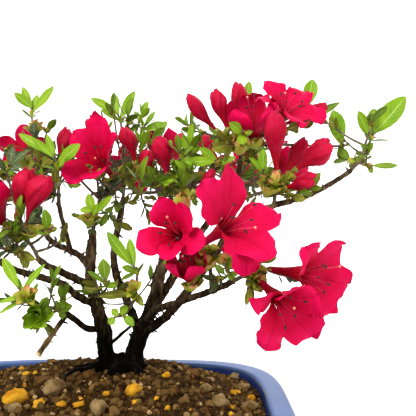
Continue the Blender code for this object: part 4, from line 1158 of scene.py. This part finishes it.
def addPetals(kind, foot, tip, width, roll, rng, rows=19, columns=13):
    # five petals joined in a tube, then free: a joint keeps its fifth of the turn, a lobe swings to its own
    axis, depth, upward = flowerFrame(foot, tip, roll)
    half, shape = width / 2, petalShape[kind]
    lobes = lobeTables.get(tuple(tip)) or [
        (72 * k + rng.uniform(-4, 4), rng.uniform(0.97, 1.14), shape["wide"], rng.uniform(-0.2, 0.14))
        for k in range(5)
    ]
    for petal, (turned, reach, wide, lift) in enumerate(lobes):
        joint = math.radians(lobes[0][0] + (72 if lobes[1][0] > lobes[0][0] else -72) * petal)
        lift *= half * (0.5 if kind == "cup" else 1)
        phase, twist, ruffle = rng.uniform(0, 6.28), rng.uniform(-0.3, 0.3), rng.uniform(0.04, 0.08) * half
        fold, side = rng.uniform(-0.16, 0.2), (-1, 1)[petal % 2]
        points, uvs = [], []
        for row in range(rows):
            share = 1 - (1 - row / (rows - 1)) ** 1.25
            far, out = curveValue(shape["far"], share) * depth, curveValue(shape["out"], share) * half
            free = min(1.0, max(0.0, (share - 0.3) / 0.26))  # 0 in the tube, 1 in the free lobe
            free = free * free * (3 - 2 * free)
            swung = joint + (math.radians(turned) - joint) * free
            radial = Matrix.Rotation(swung, 3, axis) @ upward
            lateral = axis.cross(radial)
            facing = (axis * free - radial * (1 - free)).normalized()
            joined = out * math.tan(math.pi / 5) * 1.04
            lobe = half * wide * (0.62 + 0.38 * math.sin(math.pi * min(1.0, share / 0.78) / 2) ** 3)
            lobe *= max(0.01, 1 - max(0.0, (share - 0.5) / 0.5) ** 2.2) ** 0.5
            spread = joined * (1 - free) + min(lobe, joined * 1.25) * free
            for column in range(columns):
                u = -1 + 2 * column / (columns - 1)
                angle = u * math.pi / 5
                tube = radial * math.cos(angle) * out + lateral * math.sin(angle) * out
                blade = radial * (out * reach - spread * abs(u) ** 2.4 * 0.1) + lateral * spread * u
                place = foot + axis * far + tube * (1 - free) + blade * free
                wave = math.sin(share * 13 + phase + 1.4 * u) + 0.5 * math.sin(share * 29 + phase * 2)
                wave = ruffle * abs(u) ** 2.2 * wave * free
                groove = -0.05 * half * math.exp(-((u / 0.2) ** 2)) * free
                cupped = fold * spread * u * u * free
                lapped = 0.05 * half * u * free * side
                swing = lift * max(0.0, share - 0.45) * 1.8 + twist * u * half * 0.3 * free * share
                points.append(place + facing * (wave + groove + cupped + lapped) + axis * swing)
                uvs.append((0.5 + 0.5 * u, share))
        addShape(gathers["petals"], points, gridFaces(rows, columns), uvs)
    addStamens(foot, axis, depth, upward, half, rng)


def addStamens(foot, axis, depth, upward, half, rng):
    for k in range(5):
        turn = 2 * math.pi * (k + 0.4) / 5 + rng.uniform(-0.3, 0.3)
        out = Matrix.Rotation(turn, 3, axis) @ upward
        end = foot + axis * depth * rng.uniform(0.93, 1.12) + out * half * rng.uniform(0.22, 0.42)
        middle = foot + axis * depth * 0.6 + out * half * 0.10
        route = smoothRoute([foot + axis * depth * 0.12, middle, end], 5)
        addTube(gathers["filaments"], route, tapered(0.2, -0.06), 5)
        lie = Vector((rng.uniform(-1, 1), rng.uniform(-1, 1), rng.uniform(-1, 1)))
        lie = (out + axis * 0.4 + lie * 0.5).normalized()
        spot = [end - lie * 0.9, end - lie * 0.3, end + lie * 0.3, end + lie * 0.9]
        addTube(gathers["anthers"], spot, lambda s, turn, place, out: 0.5 if 0.2 < s < 0.8 else 0.3, 7)
    out = Matrix.Rotation(rng.uniform(0, 6.28), 3, axis) @ upward
    end = foot + axis * depth * 1.2 + out * half * 0.35
    route = smoothRoute([foot + axis * depth * 0.12, foot + axis * depth * 0.7 + out * half * 0.12, end], 6)
    addTube(gathers["filaments"], route, tapered(0.26, 0.0), 6)
    along = (route[-1] - route[-2]).normalized()
    knob = [end - along * 0.2, end + along * 0.25, end + along * 0.7]
    addTube(gathers["stigmas"], knob, lambda s, turn, place, out: 0.62 - 0.3 * abs(2 * s - 1), 8)


def addBud(foot, tip, width, roll, rng, rows=24, sides=40):
    # five furled petals: each one's edge lies over the next, and the seams wind slowly round the bud
    axis, depth, upward = flowerFrame(foot, tip, roll)
    lateral = axis.cross(upward)
    half, winding = width / 2, rng.uniform(0.5, 0.9) * rng.choice((-1, 1))
    flat, folds = rng.uniform(0.78, 0.95), rng.uniform(0.16, 0.26)
    bow, shift = rng.uniform(-0.07, 0.07) * depth, rng.uniform(0, 50)
    ends = [rng.uniform(-0.07, 0.05) for _ in range(5)]
    points, uvs = [], []
    for row in range(rows):
        share = row / (rows - 1)
        radius = curveValue(budOutline, share) * half
        for k in range(sides):
            turn = 2 * math.pi * k / sides
            around = (turn * 5 / (2 * math.pi) + share * winding * 2) % 5
            step = folds * ((around % 1) ** 1.6 - 0.4) * min(1.0, share * 2.2) * (0.6 + share * 0.6)
            crease = 0.14 * noise.noise(Vector((math.cos(turn) * 1.4, math.sin(turn) * 1.4 + shift,
                                                share * 3.4)))
            r = radius * (1 + step + crease * min(1.0, share * 2))
            stretch = 1 + ends[int(around)] * share ** 3
            out = upward * math.cos(turn) * r * flat + lateral * math.sin(turn) * r / flat
            points.append(foot + axis * depth * share * stretch + out + upward * bow * math.sin(share * 3.1))
            uvs.append((k / sides, share))
    faces = gridFaces(rows, sides, wrap=True)
    start = (rows - 1) * sides
    points.append(sum((points[start + k] for k in range(sides)), Vector()) / sides - axis * depth * 0.03)
    uvs.append((0.5, 0.5))
    faces += [(start + k, start + (k + 1) % sides, start + sides) for k in range(sides)]
    faces.append(tuple(reversed(range(sides))))
    addShape(gathers["buds"], points, faces, uvs)


def addFlower(kind, foot, tip, width, roll, stemPoint, rng):
    # the bud or the open flower, its twig and stalk, and scales and small leaves at the joint of the two
    foot, tip = Vector(foot), Vector(tip)
    if kind == "bud":
        addBud(foot, tip, width, roll, rng)
    else:
        addPetals(kind, foot, tip, width, roll, rng)
    axis, toFoot = (tip - foot).normalized(), foot - stemPoint
    joint = stemPoint + toFoot * max(0.25, 1 - growth["pedicel"] / max(toFoot.length, 0.1))
    back = foot - axis * min(2.0, toFoot.length * 0.3)
    addTwig([stemPoint, stemPoint.lerp(joint, 0.5) + Vector((0, 0, -0.4)), joint], "flower", rng)
    stalks = gathers["flowerStalks"]
    addTube(stalks, smoothRoute([joint, back, foot + axis * 0.6], 5), tapered(0.5, 0.25), 7)

    def calyx(share, turn, place, out):
        return (0.55 + 0.9 * min(share * 2, 1)) * (1 + 0.16 * math.cos(5 * turn))

    addTube(stalks, [foot - axis * 0.7, foot + axis * 0.2, foot + axis * 1.3, foot + axis * 2.6], calyx, 15)
    addScales(joint, toFoot, 6, 6.0, rng, 70)
    side = toFoot.orthogonal().normalized()
    for k in range(3):
        out = Matrix.Rotation(k * 2.2 + rng.uniform(0, 1), 3, toFoot.normalized()) @ side
        heading = (toFoot.normalized() * 0.5 + out).normalized()
        leaf = rng.choice(("mid", "olive", "old", "mid"))
        addLeaf(leaf, joint, joint + heading * rng.uniform(4.5, 7), toFoot * 0.1 - out, rng)


def stemOf(mass):
    root, heart = Vector(mass["root"]), Vector(mass["heart"])
    return smoothRoute([root, root.lerp(heart, 0.5) + Vector((0, 0, 1)), heart], 3)


def leaving(stem, place):
    return min(stem[2:-1], key=lambda p: (p - Vector(place)).length)


def fits(leaf, mass):
    # a leaf keeps to the space of its mass, and out of the view of the flowers
    ends = leaf[:2]
    heart, space = mass["heart"], mass["space"]
    inside = all(sum(((p[i] - heart[i]) / space[i]) ** 2 for i in range(3)) <= 1 for p in ends)
    return inside and clearOfMouths(ends)


def clearOfMouths(places):
    # false in the space in front of an open flower or of the side of a cup
    for mass in masses.values():
        for kind, foot, tip, width, roll in mass["blooms"]:
            axis = (Vector(tip) - Vector(foot)).normalized()
            for p in places if kind != "bud" else ():
                ahead = (p - Vector(tip)).dot(axis)
                aside = (p - Vector(tip) - axis * ahead).length
                if 0 < ahead < growth["mouth"] and aside < width * 0.5:
                    return False
                near = Vector(tip) + axis * min(ahead, 0)
                beside = math.hypot(p.x - near.x, p.z - near.z)
                if kind == "cup" and p.y < near.y and beside < width * 0.42 and ahead > -width * 0.8:
                    return False
    return True


def dressTuft(kind, foot, end, leaves, detail, scales=True):
    # the leaves of the solid, then small ones under them and the scales at the foot of the new shoot
    axis = (end - Vector(foot)).normalized()
    for start, tip, faceUp, *width in leaves:
        broad = width[0] / (tip - start).length if width else growth["leafWidth"]
        addLeaf(kind, start, tip, faceUp, detail, broad, 0.12 if width else 0.45)
    length = sum((leaf[1] - leaf[0]).length for leaf in leaves) / len(leaves)
    side = axis.orthogonal().normalized()
    second = {"young": "mid", "mid": "olive", "olive": "old", "old": "old"}[kind]
    for k in range(3):
        out = Matrix.Rotation(k * growth["golden"] + detail.uniform(0, 1), 3, axis) @ side
        lean = math.radians(detail.uniform(50, 82))
        heading = axis * math.cos(lean) + out * math.sin(lean)
        start = Vector(foot) - axis * detail.uniform(0, 2.2)
        reach = length * detail.uniform(0.35, 0.58)
        addLeaf(second, start, start + heading * reach, axis - out * 0.3, detail, 0.5)
    if scales:
        addScales(Vector(foot), axis, 3, 4.2, detail)


def halfWay(start, foot, drop, detail=None):
    # the middle of a twig, which sags a little and may stray to a side
    strays = (detail.uniform(-1, 1), detail.uniform(-1, 1)) if detail else (0, 0)
    return start.lerp(Vector(foot), 0.5) + Vector((*strays, -drop))


def growMass(name, mass):
    rng, detail = random.Random(mass["seed"]), random.Random(mass["seed"] + 500)
    stem = stemOf(mass)
    addTwig([stem[0], stem[len(stem) // 2], stem[-1]], "stem", detail)
    starts = list(stem[2:])
    for bloom in mass["blooms"]:
        addFlower(*bloom, leaving(stem, bloom[1]), detail)
    for foot, tip, length, count, kind in mass["tufts"]:
        end, leaves = leafTuft(foot, tip, length, count, rng)
        begin = leaving(stem, foot)
        middle = halfWay(begin, foot, 0.8, detail)
        addTwig([begin, middle, foot, end], "tuft", detail)
        starts += [middle, Vector(foot)]
        dressTuft(kind, foot, end, leaves, detail)
    for kind, foot, blades in sprays.get(name, ()):
        end, leaves = leafSpray(foot, blades)
        begin = leaving(stem, foot)
        addTwig([begin, halfWay(begin, foot, 0.8), foot, end], "tuft", detail)
        starts.append(Vector(foot))
        dressTuft(kind, foot, end, leaves, detail)
    growFilling(mass, stem, starts, rng, detail)
    for place, heading, count, size, closed, *kind in rosettes.get(name, ()):
        gather = leafGathers[kind[0]] if kind else gathers["budScales"]
        addScales(Vector(place), Vector(heading), count, size, detail, 78, closed, gather)
    growInner(mass, starts, detail)


def growFilling(mass, stem, starts, rng, detail):
    # shoots all round the stem, where there is room for them
    for _ in range(mass["fill"]):
        turn, rise = rng.uniform(0, 2 * math.pi), rng.uniform(-0.2, 0.95)
        level = math.sqrt(1 - rise * rise)
        out = Vector((math.cos(turn) * level, math.sin(turn) * level, rise))
        reach = Vector([out[i] * mass["space"][i] for i in range(3)])
        foot = Vector(mass["heart"]) + reach * rng.uniform(0.45, 0.75)
        start = leaving(stem, foot)
        length, count = rng.uniform(*growth["fillLength"]), rng.choice(growth["fillCount"])
        end, leaves = leafTuft(foot, foot * 2 - start, length, count, rng)
        kept = [leaf for leaf in leaves if fits(leaf, mass)]
        if not kept or not clearOfMouths([foot]):
            continue
        middle = halfWay(start, foot, 0.6, detail)
        addTwig([start, middle, foot, end], "fill", detail)
        starts += [middle, foot]
        shorter = [(a, a.lerp(b, growth["fillShare"]), up) for a, b, up in kept]
        dressTuft(detail.choice(("young", "young", "mid", "mid", "olive")), foot, end, shorter, detail)


def growInner(mass, starts, detail):
    # the older wood inside the mass: short side twigs with small dark leaves
    for _ in range(mass["inner"]):
        out = Vector([detail.gauss(0, 1) for _ in range(3)]).normalized()
        out.z = max(out.z, mass.get("sink", -0.15))
        reach = Vector([out[i] * mass["space"][i] for i in range(3)])
        foot = Vector(mass["heart"]) + reach * detail.uniform(0.2, 0.62)
        start = min(starts, key=lambda p: (p - foot).length)
        if (foot - start).length < 2.5 or (foot - start).length > 16:
            continue
        length, count = detail.uniform(*growth["innerLength"]), detail.choice((4, 5, 6))
        end, leaves = leafTuft(foot, foot * 2 - start + Vector((0, 0, 2)), length, count, detail)
        kept = [leaf for leaf in leaves if fits(leaf, mass)]
        if kept:
            addTwig([start, halfWay(start, foot, 0.5), foot, end], "inner", detail)
            dressTuft(detail.choice(("old", "olive", "mid", "mid")), foot, end, kept, detail, scales=False)
            starts.append(foot)


def leafMaterial(kind):
    blade, second, rib, gloss, _ = leafKinds[kind]
    paint = Paint(kind + "Leaf", gloss, Specular_IOR_Level=0.2, Subsurface_Weight=0.06,
                  Subsurface_Scale=0.001)
    across, along = paint.part("X", paint.uv), paint.part("Y", paint.uv)
    base = paint.mix(paint.between(paint.noise(90, 3), 0.35, 0.65), blade, second)
    offMiddle = paint.maths("ABSOLUTE", paint.minus(across, 0.5))
    slant = paint.minus(along, paint.times(offMiddle, 0.55))
    veins = paint.maths("GREATER_THAN", paint.maths("SINE", paint.times(slant, 46.0)), 0.86)
    veined = paint.mix(paint.times(veins, 0.22), base, rib)
    ribbed = paint.mix(paint.times(paint.maths("LESS_THAN", offMiddle, 0.035), 0.65), veined, rib)
    hair = paint.noise(2600, 2)
    hairy = {"old": 0.5, "olive": 0.2}.get(kind, 0.04)
    colour = paint.mix(paint.times(paint.maths("GREATER_THAN", hair, 0.63), hairy), ribbed,
                       tint(206, 210, 190))
    return paint.finish(colour, paint.plus(paint.times(veins, -1.0), hair), 0.35, 0.0003)


def blossomPaint(name, roughness, specular):
    return Paint(name, roughness, Specular_IOR_Level=specular, Subsurface_Weight=0.04, Subsurface_Scale=0.001,
                 Subsurface_Radius=(1.0, 0.1, 0.2))


def petalMaterial():
    paint = blossomPaint("petal", 0.6, 0.07)
    base = paint.ramp(paint.part("Y", paint.uv), [
        (0.0, tint(140, 0, 16)), (0.25, tint(156, 0, 24)), (0.42, tint(186, 0, 42)), (0.7, tint(210, 0, 66)),
        (0.9, tint(216, 1, 74)), (1.0, tint(202, 1, 64)),
    ])
    offMiddle = paint.minus(paint.part("X", paint.uv), 0.5)
    fan = paint.plus(paint.times(offMiddle, 44.0), paint.times(paint.noise(220, 2), 2.4))
    veins = paint.maths("POWER", paint.maths("ABSOLUTE", paint.maths("SINE", fan)), 7.0)
    middle = paint.maths("LESS_THAN", paint.maths("ABSOLUTE", offMiddle), 0.022)
    veined = paint.mix(paint.times(veins, 0.2), base, tint(150, 0, 30))
    creased = paint.mix(paint.times(middle, 0.3), veined, tint(150, 0, 30))
    light = paint.between(paint.noise(90, 3), 0.42, 0.72)
    colour = paint.mix(paint.times(light, 0.4), creased, tint(232, 24, 98))
    return paint.finish(colour, paint.plus(paint.times(veins, -0.6), paint.noise(420, 3)), 0.35, 0.0006)


def budMaterial():
    paint = blossomPaint("budPetal", 0.55, 0.1)
    base = paint.ramp(paint.part("Y", paint.uv), [
        (0.0, tint(190, 36, 30)), (0.18, tint(168, 4, 22)), (0.5, tint(160, 0, 34)), (0.8, tint(182, 4, 46)),
        (1.0, tint(196, 12, 58)),
    ])
    streaks = paint.noise(1.0, 3, paint.stretched(paint.uv, (34, 3, 1)))
    darkened = paint.mix(paint.times(paint.between(streaks, 0.45, 0.75), 0.5), base, tint(112, 0, 30))
    light = paint.between(paint.noise(110, 2), 0.5, 0.75)
    return paint.finish(paint.mix(paint.times(light, 0.35), darkened, tint(220, 40, 86)), streaks, 0.6,
                        0.0008)


def scaleMaterial():
    paint = Paint("budScale", 0.6, Specular_IOR_Level=0.2)
    base = paint.ramp(paint.part("Y", paint.uv), [
        (0.0, tint(136, 158, 30)), (0.45, tint(172, 180, 56)), (0.78, tint(216, 160, 96)),
        (0.94, tint(206, 118, 88)), (1.0, tint(130, 78, 34)),
    ])
    patches = paint.between(paint.noise(150, 2), 0.36, 0.58)
    colour = paint.mix(paint.times(patches, 0.85), base, tint(158, 172, 40))
    return paint.finish(colour, paint.noise(1500, 2), 0.3, 0.0003)


def grainMaterial(name, stops, roughness, scale=500):
    # for small pieces: a ramp over a fine noise
    paint = Paint(name, roughness)
    grain = paint.noise(scale, 4)
    return paint.finish(paint.ramp(grain, stops), grain, 0.3, 0.0004)


def makeFoliage():
    for name, mass in masses.items():
        growMass(name, mass)
    leafy = list(masses)
    blossomed = [name for name, mass in masses.items() if mass["blooms"]]
    slots = {"twigs": "bark", "flowerStalks": "leaf", "budScales": "leaf"}
    finishes = {"budScales": scaleMaterial, "petals": petalMaterial, "buds": budMaterial}
    for kind, gather in leafGathers.items():
        makePiece(kind + "Leaves", gather, leafMaterial(kind), leafy)
    for name, gather in gathers.items():
        slotName = slots.get(name, "blossom")
        finish = finishes[name]() if name in finishes else grainMaterial(*grains[name])
        makePiece(name, gather, finish, blossomed if slotName == "blossom" else leafy)


print("camera, light and floor")
addCamera()
addLights()
addFloor()
print("pot")
makePot()
print("soil")
ground = makeSoil()
makeCrumbs(ground)
makePebbles()
print("bark")
barkFinish = barkMaterial()
boughs = makeLimbs(barkFinish)
spurValues = {"Density": spurShape["density"], "Seed": 4, "Material": barkFinish}
scatterOn("barkSpurs", boughs, spurTree(), spurValues)
makeTrunk(barkFinish)
print("foliage")
makeFoliage()
